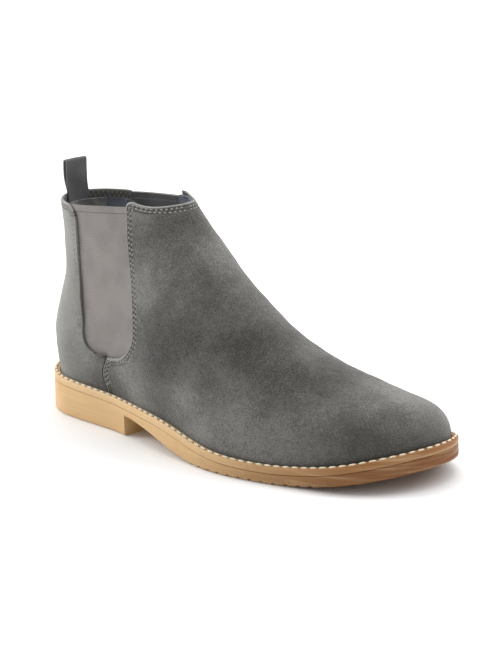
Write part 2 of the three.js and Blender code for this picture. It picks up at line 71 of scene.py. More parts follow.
def smoothCurve(points, scale=1.0):
    # smooth curve through a few points, straight past both ends
    xs, ys = np.array(points, float).T
    xs = xs * scale
    order = np.arange(len(xs))
    before, after = np.maximum(order - 1, 0), np.minimum(order + 1, len(xs) - 1)
    slopes = (ys[after] - ys[before]) / (xs[after] - xs[before])

    def height(x):
        x = np.asarray(x, float)
        i = np.clip(np.searchsorted(xs, x, side="right") - 1, 0, len(xs) - 2)
        span = xs[i + 1] - xs[i]
        t = np.clip((x - xs[i]) / span, 0, 1)
        bend = t * (1 - t) * span * ((1 - t) * slopes[i] - t * slopes[i + 1])
        past = np.minimum(x - xs[0], 0) * slopes[0] + np.maximum(x - xs[-1], 0) * slopes[-1]
        return ys[i] + (ys[i + 1] - ys[i]) * t * t * (3 - 2 * t) + bend + past
    return height


def smoothStep(value, low, high):
    t = np.clip((np.asarray(value, float) - low) / (high - low), 0, 1)
    return t * t * (3 - 2 * t)


def mix(a, b, share):
    return a + (b - a) * share


def pathThrough(points):
    # point of a side-view path by share of its length
    points = np.array(points, float)
    run = np.concatenate([[0], np.cumsum(np.hypot(*np.diff(points, axis=0).T))])
    run /= run[-1]
    return lambda share: np.stack([np.interp(share, run, points[:, k]) for k in (0, 1)], -1)


seatLine = smoothCurve([
    (0, foot["seatZ"]), (0.13, foot["seatZ"] - 1.6), (0.3, foot["seatZ"] - 3.5), (0.47, foot["waistZ"]),
    (0.62, foot["ballZ"] + 1.2), (0.76, foot["ballZ"]), (0.88, mix(foot["ballZ"], foot["toeZ"], 0.3)),
    (1, foot["toeZ"])], foot["length"])
instepLine = smoothCurve([
    (0.2, 223), (0.3, 183), (0.35, 160), (0.4, 143), (0.46, 126.5), (0.53, 108.5), (0.62, 87.9),
    (0.71, 69), (0.81, 55.6), (0.9, 49.2), (1, 46.5)], foot["length"])
backLine = smoothCurve([
    (20, 5.6), (30, 3.6), (42, -0.8), (56, -2.3), (72, 2.2), (92, 7.8), (112, 8.4), (132, 7.6), (150, 6.4),
    (170, 5)])
centreLine = smoothCurve([
    (0, 0), (0.42, 0), (0.6, 0.14 * foot["toeSwing"]), (0.8, 0.54 * foot["toeSwing"]), (1, foot["toeSwing"])],
    foot["length"])
shaftHalf = smoothCurve([(z, share * foot["shaft"]) for z, share in [
    (20, 1.28), (45, 0.88), (60, 0.68), (80, 0.56), (100, 0.5), (130, 0.495), (165, 0.515)]])


def sideHalf(heelShares, ballShares):
    widths = [(at, share * foot["heel"]) for at, share in heelShares]
    widths += [(at, share * foot["ball"]) for at, share in ballShares]
    return smoothCurve(widths, foot["length"])


lateralHalf = sideHalf([(0, 0.435), (0.07, 0.49), (0.17, 0.5), (0.29, 0.49)],
                       [(0.4, 0.38), (0.52, 0.44), (0.64, 0.5), (0.74, 0.5), (0.84, 0.467), (1, 0.435)])
medialHalf = sideHalf([(0, 0.435), (0.07, 0.475), (0.17, 0.485), (0.29, 0.44)],
                      [(0.4, 0.315), (0.52, 0.37), (0.64, 0.462), (0.74, 0.495), (0.84, 0.467), (1, 0.413)])
goreAxis = smoothCurve([(z, share * foot["length"]) for z, share in [
    (46, 0.255), (62, 0.259), (72, 0.2545), (96, 0.2374), (119, 0.2276), (146, 0.218)]])
goreHalf = smoothCurve([(z, share * gore["half"]) for z, share in [
    (46, 1), (96, 1.02), (119, 0.95), (146, 0.87)]])
sideSeam = smoothCurve([
    (0, 0.255 * foot["length"]), (0.5, 0.24 * foot["length"]), (1, float(goreAxis(gore["bottom"])))])


def crownLine(x):
    fall = np.clip((x - foot["length"] + foot["toeFall"]) / foot["toeFall"], 0, 1)
    return mix(seatLine(x), instepLine(x), (1 - fall ** 2.3) ** 0.48)


crownX = np.linspace(0.2 * foot["length"], foot["length"], 6000)
crownZ = crownLine(crownX)


def frontLine(z):
    return np.interp(-np.asarray(z, float), -crownZ, crownX)


def halfWidth(x, z, side):
    # half width of the foot and leg at a side-view place
    floor = seatLine(x)
    rise = np.maximum(z - floor, 0)
    share = np.clip(rise / np.maximum(crownLine(x) - floor, 1e-3), 0, 1)
    swell = np.exp(-((x / foot["length"] - 0.4) / 0.14) ** 2) * smoothStep(rise, 0, foot["bulgeRise"])
    outer = lateralHalf(x) + foot["bulgeOut"] * swell
    inner = medialHalf(x) + foot["bulgeIn"] * swell
    fromHeel = np.clip((x - backLine(z)) / foot["heelRound"], 0, 1)
    intoToe = np.clip((x - foot["length"] + foot["toeRound"]) / foot["toeRound"], 0, 1)
    ends = np.sqrt((1 - (1 - fromHeel) ** 2.1) * (1 - intoToe ** 2.3))
    low = np.where(side < 0, outer, inner) * ends * np.sqrt(1 - share ** foot["crown"])
    front, back = frontLine(z), backLine(z)
    reach = np.clip(np.abs(2 * x - front - back) / (front - back), 0, 1)
    leg = shaftHalf(z) * np.sqrt(1 - reach ** foot["leg"])
    power = foot["blend"]
    return (np.maximum(low, 1e-6) ** -power + np.maximum(leg, 1e-6) ** -power) ** (-1 / power)


def lastPoint(x, z, side):
    centre = centreLine(x) * (1 - smoothStep(z, 30, 120))
    return np.stack([x, centre + side * halfWidth(x, z, side), z], -1)


def goreEdge(direction, grow, top):
    # side-view outline of the elastic, from the middle of its lower end up to a top corner
    bend = np.linspace(0, math.pi / 2, 15)
    tilt = direction * gore["tilt"]
    z = gore["bottom"] - grow + (gore["corner"] + grow) * (1 - np.cos(bend)) + tilt * np.sin(bend)
    x = goreAxis(z) + direction * (goreHalf(z) + grow) * np.sin(bend) ** gore["square"]
    upZ = np.linspace(gore["bottom"] + gore["corner"] + tilt, top, 21)[1:]
    upX = goreAxis(upZ) + direction * (goreHalf(upZ) + grow)
    return list(zip(np.append(x, upX), np.append(z, upZ)))


def suedeEdge(direction, top):
    share = np.linspace(0, 1, 11)
    x = sideSeam(share) + direction * gore["seamGap"] / 2
    z = mix(seatLine(x), gore["bottom"], share)
    return pathThrough(list(zip(x, z)) + goreEdge(direction, 0, top)[1:])


def wrapped(middle, edge, dip):
    # s runs from the lateral edge (-1) over the middle line to the medial edge (1), t from welt to collar
    def patch(s, t):
        s, t = np.broadcast_arrays(np.asarray(s, float), np.asarray(t, float))
        reach = 1 - np.cos(np.abs(s) * math.pi / 2)
        x, z = np.moveaxis(mix(middle(t), edge(t), reach[..., None]), -1, 0)
        footX, footZ = np.moveaxis(mix(middle(0.0), edge(0.0), reach[..., None]), -1, 0)
        settle = (seatLine(footX) - footZ) * (1 - t) ** 3
        sag = dip * np.sin(math.pi * reach) * t ** 6
        return lastPoint(x, z + settle - sag, np.where(s < 0, -1, 1))
    return patch


toeX = foot["length"] - foot["toeFall"] * (1 - np.cos(np.linspace(0, math.pi / 2, 61)))
crestEnd = float(frontLine(foot["collarFront"]))
crestX = np.append(toeX, np.linspace(foot["length"] - foot["toeFall"], crestEnd, 161)[1:])
ridgePath = pathThrough(list(zip(crestX, crownLine(crestX))))
backFoot = float(backLine(foot["seatZ"]))
backZ = np.linspace(float(seatLine(backFoot)), foot["collarBack"], 241)
backPath = pathThrough(list(zip(backLine(backZ), backZ)))
vampPatch = wrapped(ridgePath, suedeEdge(1, foot["vampTop"]), foot["collarDip"])
quarterPatch = wrapped(backPath, suedeEdge(-1, foot["quarterTop"]), 0)


def gorePatch(side):
    tops = {-1: foot["quarterTop"] - gore["backDrop"], 1: foot["vampTop"] - gore["frontDrop"]}
    back, front = [pathThrough(goreEdge(way, gore["lap"], tops[way])[6:]) for way in (-1, 1)]

    def patch(s, t):
        s, t = np.broadcast_arrays(np.asarray(s, float), np.asarray(t, float))
        x, z = np.moveaxis(mix(back(t), front(t), s[..., None]), -1, 0)
        return lastPoint(x, z, np.full(x.shape, side))
    return patch


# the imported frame's place of the foot: the pull tab's box says where its hinge line lies
tabLow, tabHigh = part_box("pull_tab")
tab = {"width": 16.8, "thickness": 0.95, "gap": 1.7, "lift": 2.3, "tail": 13.5, "height": 20, "depth": 1.55}
hingeX = float(backLine(foot["collarBack"])) + 2.5
frameShift = np.array([
    (tabLow.x + tabHigh.x) * 500 - hingeX,
    (tabLow.y + tabHigh.y) * 500,
    0.0])


def toFrame(points):
    return (np.asarray(points, float) + frameShift) / 1000


# ---------- mesh helpers ----------

def unit(vectors):
    return vectors / np.maximum(np.linalg.norm(vectors, axis=-1, keepdims=True), 1e-9)


def lastNormal(points, side):
    # outward normal of the foot shape beside a point
    x, z = points[..., 0], points[..., 2]
    alongX = lastPoint(x + 0.05, z, side) - lastPoint(x - 0.05, z, side)
    alongZ = lastPoint(x, z + 0.05, side) - lastPoint(x, z - 0.05, side)
    return unit(np.cross(alongX, alongZ)) * -np.asarray(side, float)[..., None]


def patchFrame(patch, s, t, facing):
    # outward normal, direction along t, and how many millimetres one unit of s and of t is
    step = 2e-3
    s, t = np.broadcast_arrays(np.asarray(s, float), np.asarray(t, float))
    above, below = np.minimum(t + step, 1), np.maximum(t - step, 0)
    alongS = patch(s + step, t) - patch(s - step, t)
    alongT = patch(s, above) - patch(s, below)
    cross = np.cross(unit(alongS), unit(alongT))
    skewed = (np.linalg.norm(cross, axis=-1) < 0.35) & (np.abs(s) > 0.5)
    normal = unit(cross) * facing
    if skewed.any():
        beside = lastNormal(patch(s, t), np.where(s < 0, -1, 1))
        normal = np.where(skewed[..., None], beside, normal)
    sScale = np.linalg.norm(alongS, axis=-1) / (2 * step)
    tScale = np.linalg.norm(alongT, axis=-1) / (above - below)
    return normal, unit(alongT), sScale, tScale


def onlyActive(piece):
    bpy.ops.object.select_all(action="DESELECT")
    piece.select_set(True)
    bpy.context.view_layer.objects.active = piece


def placedGrid(name, points, outward=None, uv=None):
    # a grid primitive whose vertices are laid on rows and columns of points
    rows, columns = points.shape[:2]
    bpy.ops.object.select_all(action="DESELECT")
    bpy.ops.mesh.primitive_grid_add(x_subdivisions=columns - 1, y_subdivisions=rows - 1, size=1)
    piece = bpy.context.object
    piece.name = piece.data.name = name
    mesh = piece.data
    flat = np.empty(len(mesh.vertices) * 3)
    mesh.vertices.foreach_get("co", flat)
    i = np.rint((flat[1::3] + 0.5) * (rows - 1)).astype(int)
    j = np.rint((flat[0::3] + 0.5) * (columns - 1)).astype(int)
    mesh.vertices.foreach_set("co", toFrame(points[i, j]).ravel())
    piece.data.update()
    if uv is not None:
        corner = np.empty(len(mesh.loops), int)
        mesh.loops.foreach_get("vertex_index", corner)
        mesh.uv_layers[0].data.foreach_set("uv", uv[i[corner], j[corner]].astype(np.float32).ravel())
    if outward is not None:
        normals = np.empty(len(mesh.vertices) * 3)
        mesh.vertex_normals.foreach_get("vector", normals)
        if (normals.reshape(-1, 3) * outward[i, j]).sum() < 0:
            flipFaces(piece)
    return piece, (i, j)


def flipFaces(piece):
    onlyActive(piece)
    bpy.ops.object.mode_set(mode="EDIT")
    bpy.ops.mesh.select_all(action="SELECT")
    bpy.ops.mesh.flip_normals()
    bpy.ops.object.mode_set(mode="OBJECT")


def pointValues(piece, name, values):
    layer = piece.data.attributes.new(name, "FLOAT", "POINT")
    layer.data.foreach_set("value", np.asarray(values, np.float32).ravel())


def addWall(piece, thickness, shares=None, inside=0):
    # gives a sheet its thickness inwards; shares thins it towards its edges
    wall = piece.modifiers.new("wall", "SOLIDIFY")
    wall.thickness = thickness / 1000
    wall.offset = -1
    wall.material_offset = inside
    if shares is not None:
        group = piece.vertex_groups.new(name="wall")
        for index, share in enumerate(shares):
            group.add([index], float(share), "REPLACE")
        wall.vertex_group = "wall"
    onlyActive(piece)
    bpy.ops.object.modifier_apply(modifier="wall")
    if shares is not None:
        piece.vertex_groups.clear()


def smoothShade(piece, degrees=40):
    onlyActive(piece)
    bpy.ops.object.shade_smooth_by_angle(angle=math.radians(degrees))


def mergeDoubles(piece, distance=1e-5):
    onlyActive(piece)
    bpy.ops.object.mode_set(mode="EDIT")
    bpy.ops.mesh.select_all(action="SELECT")
    bpy.ops.mesh.remove_doubles(threshold=distance)
    bpy.ops.mesh.normals_make_consistent(inside=False)
    bpy.ops.object.mode_set(mode="OBJECT")


def joined(name, pieces):
    bpy.ops.object.select_all(action="DESELECT")
    for piece in pieces:
        piece.select_set(True)
    bpy.context.view_layer.objects.active = pieces[0]
    bpy.ops.object.join()
    whole = bpy.context.object
    whole.name = whole.data.name = name
    return whole


def copyAt(master, place):
    # a copy with its own mesh, its place put into the mesh
    twin = master.copy()
    twin.data = master.data.copy()
    twin.data.transform(place)
    bpy.context.collection.objects.link(twin)
    return twin


def softWave(points, size=46.0, seed=0.0):
    # gentle unevenness of soft material, about -1 to 1
    x, y, z = np.moveaxis(points, -1, 0)
    k = 2 * math.pi / size
    first = np.sin(k * (x + 0.4 * z) + seed) * np.sin(k * 0.8 * (z - 0.3 * y) + 1.3 * seed)
    second = np.sin(k * 1.9 * (0.7 * z - 0.5 * x) + 2.1 + seed) * np.sin(k * 1.6 * (y + x) + 0.7)
    return 0.65 * first + 0.35 * second


# ---------- node helpers ----------

def socketValue(node, name, value):
    node.inputs[name].default_value = value


def makeMaterial(name):
    material = bpy.data.materials.new(name)
    material.use_nodes = True
    tree = material.node_tree
    return material, tree, tree.nodes["Principled BSDF"]


def addNode(tree, kind, **settings):
    node = tree.nodes.new(kind)
    for key, value in settings.items():
        setattr(node, key, value)
    return node


def noiseNode(tree, vector, scale, detail=2.0, roughness=0.5):
    node = addNode(tree, "ShaderNodeTexNoise")
    socketValue(node, "Scale", scale)
    socketValue(node, "Detail", detail)
    socketValue(node, "Roughness", roughness)
    tree.links.new(vector, node.inputs["Vector"])
    return node.outputs["Fac"]


def mathNode(tree, operation, a, b=None, clamp=False):
    node = addNode(tree, "ShaderNodeMath", operation=operation, use_clamp=clamp)
    for place, value in enumerate((a, b)):
        if value is None:
            continue
        if isinstance(value, (int, float)):
            node.inputs[place].default_value = value
        else:
            tree.links.new(value, node.inputs[place])
    return node.outputs[0]


def rangeNode(tree, value, low, high, toLow=0.0, toHigh=1.0):
    node = addNode(tree, "ShaderNodeMapRange", interpolation_type="SMOOTHSTEP")
    tree.links.new(value, node.inputs["Value"])
    for name, number in (("From Min", low), ("From Max", high), ("To Min", toLow), ("To Max", toHigh)):
        socketValue(node, name, number)
    return node.outputs["Result"]


def mixColor(tree, share, a, b, blend="MIX"):
    node = addNode(tree, "ShaderNodeMix", data_type="RGBA", blend_type=blend)
    for place, value in ((0, share), (6, a), (7, b)):
        if isinstance(value, (int, float)):
            node.inputs[place].default_value = value
        elif isinstance(value, tuple):
            node.inputs[place].default_value = (*value, 1)
        else:
            tree.links.new(value, node.inputs[place])
    return node.outputs[2]


def objectPlace(tree):
    return addNode(tree, "ShaderNodeTexCoord").outputs["Object"]


def surfacePlace(tree):
    return addNode(tree, "ShaderNodeUVMap", uv_map="UVMap").outputs["UV"]


def stretched(tree, vector, scale):
    node = addNode(tree, "ShaderNodeMapping")
    tree.links.new(vector, node.inputs["Vector"])
    socketValue(node, "Scale", scale)
    return node.outputs["Vector"]


def bumpFrom(tree, height, strength, distance, shader):
    node = addNode(tree, "ShaderNodeBump")
    socketValue(node, "Strength", strength)
    socketValue(node, "Distance", distance)
    tree.links.new(height, node.inputs["Height"])
    tree.links.new(node.outputs["Normal"], shader.inputs["Normal"])


def finish(shader, **values):
    names = {"roughness": "Roughness", "sheen": "Sheen Weight", "sheenRough": "Sheen Roughness",
             "sheenTint": "Sheen Tint", "specular": "Specular IOR Level", "metallic": "Metallic",
             "soft": "Subsurface Weight", "softReach": "Subsurface Radius", "softScale": "Subsurface Scale",
             "coat": "Coat Weight", "coatRough": "Coat Roughness"}
    for key, value in values.items():
        shader.inputs[names[key]].default_value = value


def groupTree(name, inputs, outputs):
    tree = bpy.data.node_groups.new(name, "ShaderNodeTree")
    for label, kind, value in inputs:
        socket = tree.interface.new_socket(label, in_out="INPUT", socket_type=kind)
        if value is not None:
            socket.default_value = value
    for label, kind in outputs:
        tree.interface.new_socket(label, in_out="OUTPUT", socket_type=kind)
    return tree, tree.nodes.new("NodeGroupInput"), tree.nodes.new("NodeGroupOutput")


def useGroup(tree, group, vector, **values):
    node = addNode(tree, "ShaderNodeGroup")
    node.node_tree = group
    tree.links.new(vector, node.inputs["Vector"])
    for name, value in values.items():
        node.inputs[name].default_value = value
    return node


def napGroup():
    # brushed nap: broad strokes, small clumps and a fine grain, with a height for the bump
    tree, given, out = groupTree("brushed nap", [
        ("Vector", "NodeSocketVector", None), ("Stroke", "NodeSocketFloat", 17.0),
        ("Clump", "NodeSocketFloat", 210.0), ("Grain", "NodeSocketFloat", 1250.0)],
        [("Tone", "NodeSocketFloat"), ("Height", "NodeSocketFloat")])
    vector = given.outputs["Vector"]
    layers = []
    for size, detail, rough in (("Stroke", 2.0, 0.45), ("Clump", 3.0, 0.6), ("Grain", 2.0, 0.6)):
        node = addNode(tree, "ShaderNodeTexNoise")
        socketValue(node, "Detail", detail)
        socketValue(node, "Roughness", rough)
        tree.links.new(vector, node.inputs["Vector"])
        tree.links.new(given.outputs[size], node.inputs["Scale"])
        layers.append(node.outputs["Fac"])
    stroke = rangeNode(tree, layers[0], 0.34, 0.66)
    clump = rangeNode(tree, layers[1], 0.25, 0.75)
    grain = rangeNode(tree, layers[2], 0.2, 0.8)
    tone = mathNode(tree, "MULTIPLY", stroke, 0.42)
    tone = mathNode(tree, "ADD", tone, mathNode(tree, "MULTIPLY", clump, 0.13))
    tone = mathNode(tree, "ADD", tone, mathNode(tree, "MULTIPLY", grain, 0.45), clamp=True)
    height = mathNode(tree, "ADD", mathNode(tree, "MULTIPLY", grain, 0.7),
                      mathNode(tree, "MULTIPLY", clump, 0.3))
    tree.links.new(tone, out.inputs["Tone"])
    tree.links.new(height, out.inputs["Height"])
    return tree


def weaveGroup():
    # plain weave on a piece's own millimetres: warp over weft in turn
    tree, given, out = groupTree("plain weave", [
        ("Vector", "NodeSocketVector", None), ("Across", "NodeSocketFloat", 1.0),
        ("Along", "NodeSocketFloat", 1.0)],
        [("Height", "NodeSocketFloat"), ("Over", "NodeSocketFloat")])
    split = addNode(tree, "ShaderNodeSeparateXYZ")
    tree.links.new(given.outputs["Vector"], split.inputs["Vector"])
    u = mathNode(tree, "MULTIPLY", split.outputs["X"], given.outputs["Across"])
    v = mathNode(tree, "MULTIPLY", split.outputs["Y"], given.outputs["Along"])
    waveU = mathNode(tree, "SINE", mathNode(tree, "MULTIPLY", u, math.pi))
    waveV = mathNode(tree, "SINE", mathNode(tree, "MULTIPLY", v, math.pi))
    over = mathNode(tree, "MULTIPLY", waveU, waveV)
    ridgeU = mathNode(tree, "ABSOLUTE", waveU)
    ridgeV = mathNode(tree, "ABSOLUTE", waveV)
    ridge = mathNode(tree, "MINIMUM", ridgeU, ridgeV)
    height = mathNode(tree, "ADD", mathNode(tree, "MULTIPLY", over, 0.35), ridge)
    tree.links.new(height, out.inputs["Height"])
    tree.links.new(rangeNode(tree, over, -0.5, 0.5), out.inputs["Over"])
    return tree


nap = napGroup()
weave = weaveGroup()


def suedeMaterial(name, dark, base, light, fold=True):
    material, tree, shader = makeMaterial(name)
    place = objectPlace(tree)
    brushed = useGroup(tree, nap, stretched(tree, place, (1, 1, 1.15)))
    low = mixColor(tree, rangeNode(tree, brushed.outputs["Tone"], 0.2, 0.52), dark, base)
    color = mixColor(tree, rangeNode(tree, brushed.outputs["Tone"], 0.5, 0.82), low, light)
    if fold:
        # painted light: paler over the heel; painted shade: darker low down by the toe
        split = addNode(tree, "ShaderNodeSeparateXYZ")
        tree.links.new(place, split.inputs["Vector"])
        heelLight = rangeNode(tree, split.outputs["X"], -0.075, -0.125, 0.0, 0.5)
        lowToeShade = mathNode(tree, "MULTIPLY", rangeNode(tree, split.outputs["X"], 0.05, 0.14),
                            rangeNode(tree, split.outputs["Z"], 0.05, 0.025, 0.0, 0.55))
        # painted light over the heel, then painted shade low by the toe
        color = mixColor(tree, heelLight, color, tuple(1.5 * c for c in light))
        color = mixColor(tree, lowToeShade, color, tuple(0.7 * c for c in dark))
        # pale worn rim at the free edge, painted shade in the sewn grooves where the thread sinks in
        hemShare = addNode(tree, "ShaderNodeAttribute", attribute_name="hem").outputs["Fac"]
        hem = mathNode(tree, "MULTIPLY", hemShare, 6)
        rim = rangeNode(tree, hem, 2.0, 0.9, 0.0, 0.75)
        color = mixColor(tree, rim, color, tuple(1.45 * c for c in light))
        for row in (2.4, 4.5):
            off = mathNode(tree, "ABSOLUTE", mathNode(tree, "SUBTRACT", hem, row))
            # painted shade in each sewn groove
            grooveShade = rangeNode(tree, off, 0.8, 0.25, 0.0, 0.55)
            color = mixColor(tree, grooveShade, color, tuple(0.4 * c for c in dark))
    tree.links.new(color, shader.inputs["Base Color"])
    rough = rangeNode(tree, brushed.outputs["Tone"], 0.2, 0.8, 0.98, 0.86)
    tree.links.new(rough, shader.inputs["Roughness"])
    bumpFrom(tree, brushed.outputs["Height"], 0.7, 0.0006, shader)
    finish(shader, specular=0.12, sheen=0.7, sheenRough=0.34, sheenTint=(0.92, 0.9, 0.86, 1))
    return material


def clothMaterial(name, base, light, across, along, bump=0.6, sheen=0.2, specks=0.35):
    material, tree, shader = makeMaterial(name)
    place = surfacePlace(tree)
    woven = useGroup(tree, weave, place, Across=across, Along=along)
    fibre = noiseNode(tree, stretched(tree, place, (3.0 * across, 0.8 * along, 1)), 1.0, 3, 0.6)
    patchy = noiseNode(tree, objectPlace(tree), 60.0, 3, 0.5)
    share = mathNode(tree, "ADD", mathNode(tree, "MULTIPLY", woven.outputs["Over"], 0.45),
                     mathNode(tree, "MULTIPLY", fibre, specks))
    share = mathNode(tree, "ADD", share, mathNode(tree, "MULTIPLY", rangeNode(tree, patchy, 0.3, 0.7), 0.25),
                     clamp=True)
    color = mixColor(tree, share, base, light)
    # dark line where a folded band ends
    band = addNode(tree, "ShaderNodeAttribute", attribute_name="band").outputs["Fac"]
    ending = mathNode(tree, "ABSOLUTE", mathNode(tree, "SUBTRACT", band, 0.5))
    color = mixColor(tree, rangeNode(tree, ending, 0.48, 0.25, 0.0, 0.7), color, tuple(0.3 * c for c in base))
    tree.links.new(color, shader.inputs["Base Color"])
    tree.links.new(rangeNode(tree, fibre, 0.2, 0.8, 0.95, 0.8), shader.inputs["Roughness"])
    height = mathNode(tree, "ADD", woven.outputs["Height"], mathNode(tree, "MULTIPLY", fibre, 0.4))
    bumpFrom(tree, height, bump, 0.0003, shader)
    finish(shader, specular=0.2, sheen=sheen, sheenRough=0.5)
    return material


def gumMaterial(name, base, deepToneAndShade, pale):
    material, tree, shader = makeMaterial(name)
    place = objectPlace(tree)
    split = addNode(tree, "ShaderNodeSeparateXYZ")
    tree.links.new(place, split.inputs["Vector"])
    toeShade = rangeNode(tree, split.outputs["X"], -0.01, 0.15)
    streak = noiseNode(tree, stretched(tree, place, (18, 18, 420)), 1.0, 3, 0.6)
    cloud = noiseNode(tree, place, 38.0, 3, 0.5)
    speck = noiseNode(tree, place, 900.0, 2, 0.6)
    # painted shade: the sole darkens towards the toe; the same deep colour also gives the random clouds
    color = mixColor(tree, mathNode(tree, "MULTIPLY", toeShade, 1.0), base, deepToneAndShade)
    color = mixColor(tree, rangeNode(tree, streak, 0.45, 0.75, 0, 0.35), color, pale)
    color = mixColor(tree, rangeNode(tree, cloud, 0.5, 0.75, 0, 0.16), color, deepToneAndShade)
    tree.links.new(color, shader.inputs["Base Color"])
    tree.links.new(rangeNode(tree, cloud, 0.3, 0.7, 0.42, 0.58), shader.inputs["Roughness"])
    height = mathNode(tree, "ADD", mathNode(tree, "MULTIPLY", streak, 0.6),
                      mathNode(tree, "MULTIPLY", speck, 0.4))
    bumpFrom(tree, height, 0.25, 0.0004, shader)
    finish(shader, specular=0.25, soft=0.12, softReach=(1.0, 0.5, 0.2), softScale=0.003)
    return material


def threadMaterial(name, base, shade):
    material, tree, shader = makeMaterial(name)
    place = objectPlace(tree)
    twist = noiseNode(tree, stretched(tree, place, (1, 1, 2.5)), 1700.0, 2, 0.6)
    soil = noiseNode(tree, place, 90.0, 2, 0.5)
    color = mixColor(tree, rangeNode(tree, twist, 0.35, 0.65), shade, base)
    color = mixColor(tree, rangeNode(tree, soil, 0.55, 0.8, 0, 0.35), color, shade)
    tree.links.new(color, shader.inputs["Base Color"])
    tree.links.new(rangeNode(tree, twist, 0.3, 0.7, 0.85, 0.6), shader.inputs["Roughness"])
    bumpFrom(tree, twist, 0.5, 0.0003, shader)
    finish(shader, specular=0.3, sheen=0.15)
    return material


def insideMaterial(name, base, other, scale, roughness, bump, stretch=(1, 1, 1), metallic=0.0):
    # cork, board, steel and stiffener: two tones broken up at the piece's own scale
    material, tree, shader = makeMaterial(name)
    place = stretched(tree, objectPlace(tree), stretch)
    fine = noiseNode(tree, place, scale, 4, 0.65)
    broad = noiseNode(tree, place, scale * 0.12, 2, 0.5)
    share = mathNode(tree, "ADD", mathNode(tree, "MULTIPLY", rangeNode(tree, fine, 0.35, 0.65), 0.7),
                     mathNode(tree, "MULTIPLY", broad, 0.4), clamp=True)
    tree.links.new(mixColor(tree, share, base, other), shader.inputs["Base Color"])
    rough = rangeNode(tree, fine, 0.2, 0.8, roughness + 0.08, roughness - 0.08)
    tree.links.new(rough, shader.inputs["Roughness"])
    bumpFrom(tree, fine, bump, 0.0005, shader)
    finish(shader, specular=0.3, metallic=metallic)
    return material


suedeGrey = suedeMaterial("grey suede", (0.054, 0.052, 0.048), (0.112, 0.109, 0.101), (0.21, 0.206, 0.191))
suedeBare = suedeMaterial("grey suede, flesh side", (0.08, 0.08, 0.076), (0.15, 0.15, 0.142),
                          (0.24, 0.24, 0.225), False)
goreTaupe = clothMaterial("taupe elastic", (0.15, 0.133, 0.126), (0.34, 0.306, 0.29), 1.25, 1.05, 0.8)
goreInner = clothMaterial("dark elastic back", (0.035, 0.036, 0.038), (0.12, 0.12, 0.124), 1.25, 0.85)
webbingDark = clothMaterial("dark webbing", (0.06, 0.06, 0.062), (0.17, 0.17, 0.174), 1.1, 1.4, 0.8)
liningBlue = clothMaterial("blue grey lining", (0.07, 0.084, 0.105), (0.2, 0.225, 0.26), 2.2, 2.2, 0.4)
sockBlue = clothMaterial("blue grey sock", (0.06, 0.072, 0.09), (0.17, 0.19, 0.22), 1.0, 1.0, 0.5)
# the deep colours are both the random cloud tone and the painted shade towards the toe
gumSole = gumMaterial("honey gum rubber", (0.64, 0.42, 0.205), (0.2, 0.075, 0.02), (0.72, 0.52, 0.3))
gumRim = gumMaterial("honey gum rim", (0.66, 0.45, 0.235), (0.28, 0.12, 0.036), (0.76, 0.57, 0.34))
threadCream = threadMaterial("cream thread", (0.9, 0.83, 0.66), (0.6, 0.48, 0.32))
threadGrey = threadMaterial("pale grey thread", (0.44, 0.435, 0.4), (0.2, 0.198, 0.18))
threadDull = threadMaterial("dull grey thread", (0.27, 0.265, 0.25), (0.14, 0.138, 0.13))
corkBrown = insideMaterial("cork", (0.2, 0.11, 0.05), (0.42, 0.27, 0.14), 420.0, 0.85, 0.6)
boardTan = insideMaterial("fibre board", (0.3, 0.22, 0.13), (0.47, 0.37, 0.25), 900.0, 0.85, 0.3, (1, 0.4, 1))
steelStrip = insideMaterial("sprung steel", (0.42, 0.43, 0.45), (0.62, 0.63, 0.65), 300.0, 0.35, 0.1,
                            (0.1, 3, 3), 1.0)
stiffenerPale = insideMaterial("stiffener sheet", (0.55, 0.52, 0.45), (0.72, 0.69, 0.62), 1300.0, 0.8, 0.3)
print("materials made")


# ---------- suede panels ----------

suede = {"thickness": 1.5, "rolled": 1.1, "rim": 0.25, "rows": (2.4, 4.5), "groove": 0.3,
         "vampCorner": 9.0, "quarterCorner": 10.0, "wave": 0.45, "skirt": (1.5, 3.6)}
closeSteps = [0, 0.25, 0.5, 0.8, 1.1, 1.5, 1.9, 2.3, 2.7, 3.2, 3.7, 4.1, 4.5, 4.9, 5.4, 6, 6.8, 7.7, 8.7, 10]


def roundedCorner(fromEdge, fromTop, radius):
    # lays the grid lines near a corner inside a quarter circle
    a, b = radius - fromEdge, radius - fromTop
    near = (a > 0) & (b > 0)
    a2 = np.where(near, a * np.sqrt(np.maximum(1 - b * b / (2 * radius * radius), 0)), a)
    b2 = np.where(near, b * np.sqrt(np.maximum(1 - a * a / (2 * radius * radius), 0)), b)
    return radius - a2, radius - b2


def panelGrid(patch, facing, sides, rows, columns, radius):
    # s and t of every grid point, close together along the free edges, corners rounded
    close = np.array(closeSteps)
    # rows first: close ones below the collar, the others even down to the welt
    topScale = patchFrame(patch, np.array(0.5 * sides[-1]), np.array(0.995), facing)[3]
    closeT = 1 - close[::-1] / topScale
    t = np.concatenate([np.linspace(0, closeT[0], rows + 1)[:-1], closeT])
    grids = []
    for side in sides:
        edgeScale = patchFrame(patch, np.full(t.shape, 0.999 * side), t, facing)[2]
        reach = close[-1] / edgeScale
        inner = np.linspace(0, 1, columns + 1)[:-1]
        nearEdge = 1 - close[::-1][None] / edgeScale[:, None]
        half = np.concatenate([inner[None, :] * (1 - reach[:, None]), nearEdge], 1)
        tt = np.repeat(t[:, None], half.shape[1], 1)
        fromEdge = (1 - half) * edgeScale[:, None]
        fromTop = (1 - tt) * topScale
        fromEdge, fromTop = roundedCorner(fromEdge, fromTop, radius)
        grids.append((side * (1 - fromEdge / edgeScale[:, None]), 1 - fromTop / topScale))
    if len(grids) == 1:
        return grids[0]
    (sLeft, tLeft), (sRight, tRight) = grids
    return np.concatenate([sLeft[:, :0:-1], sRight], 1), np.concatenate([tLeft[:, :0:-1], tRight], 1)


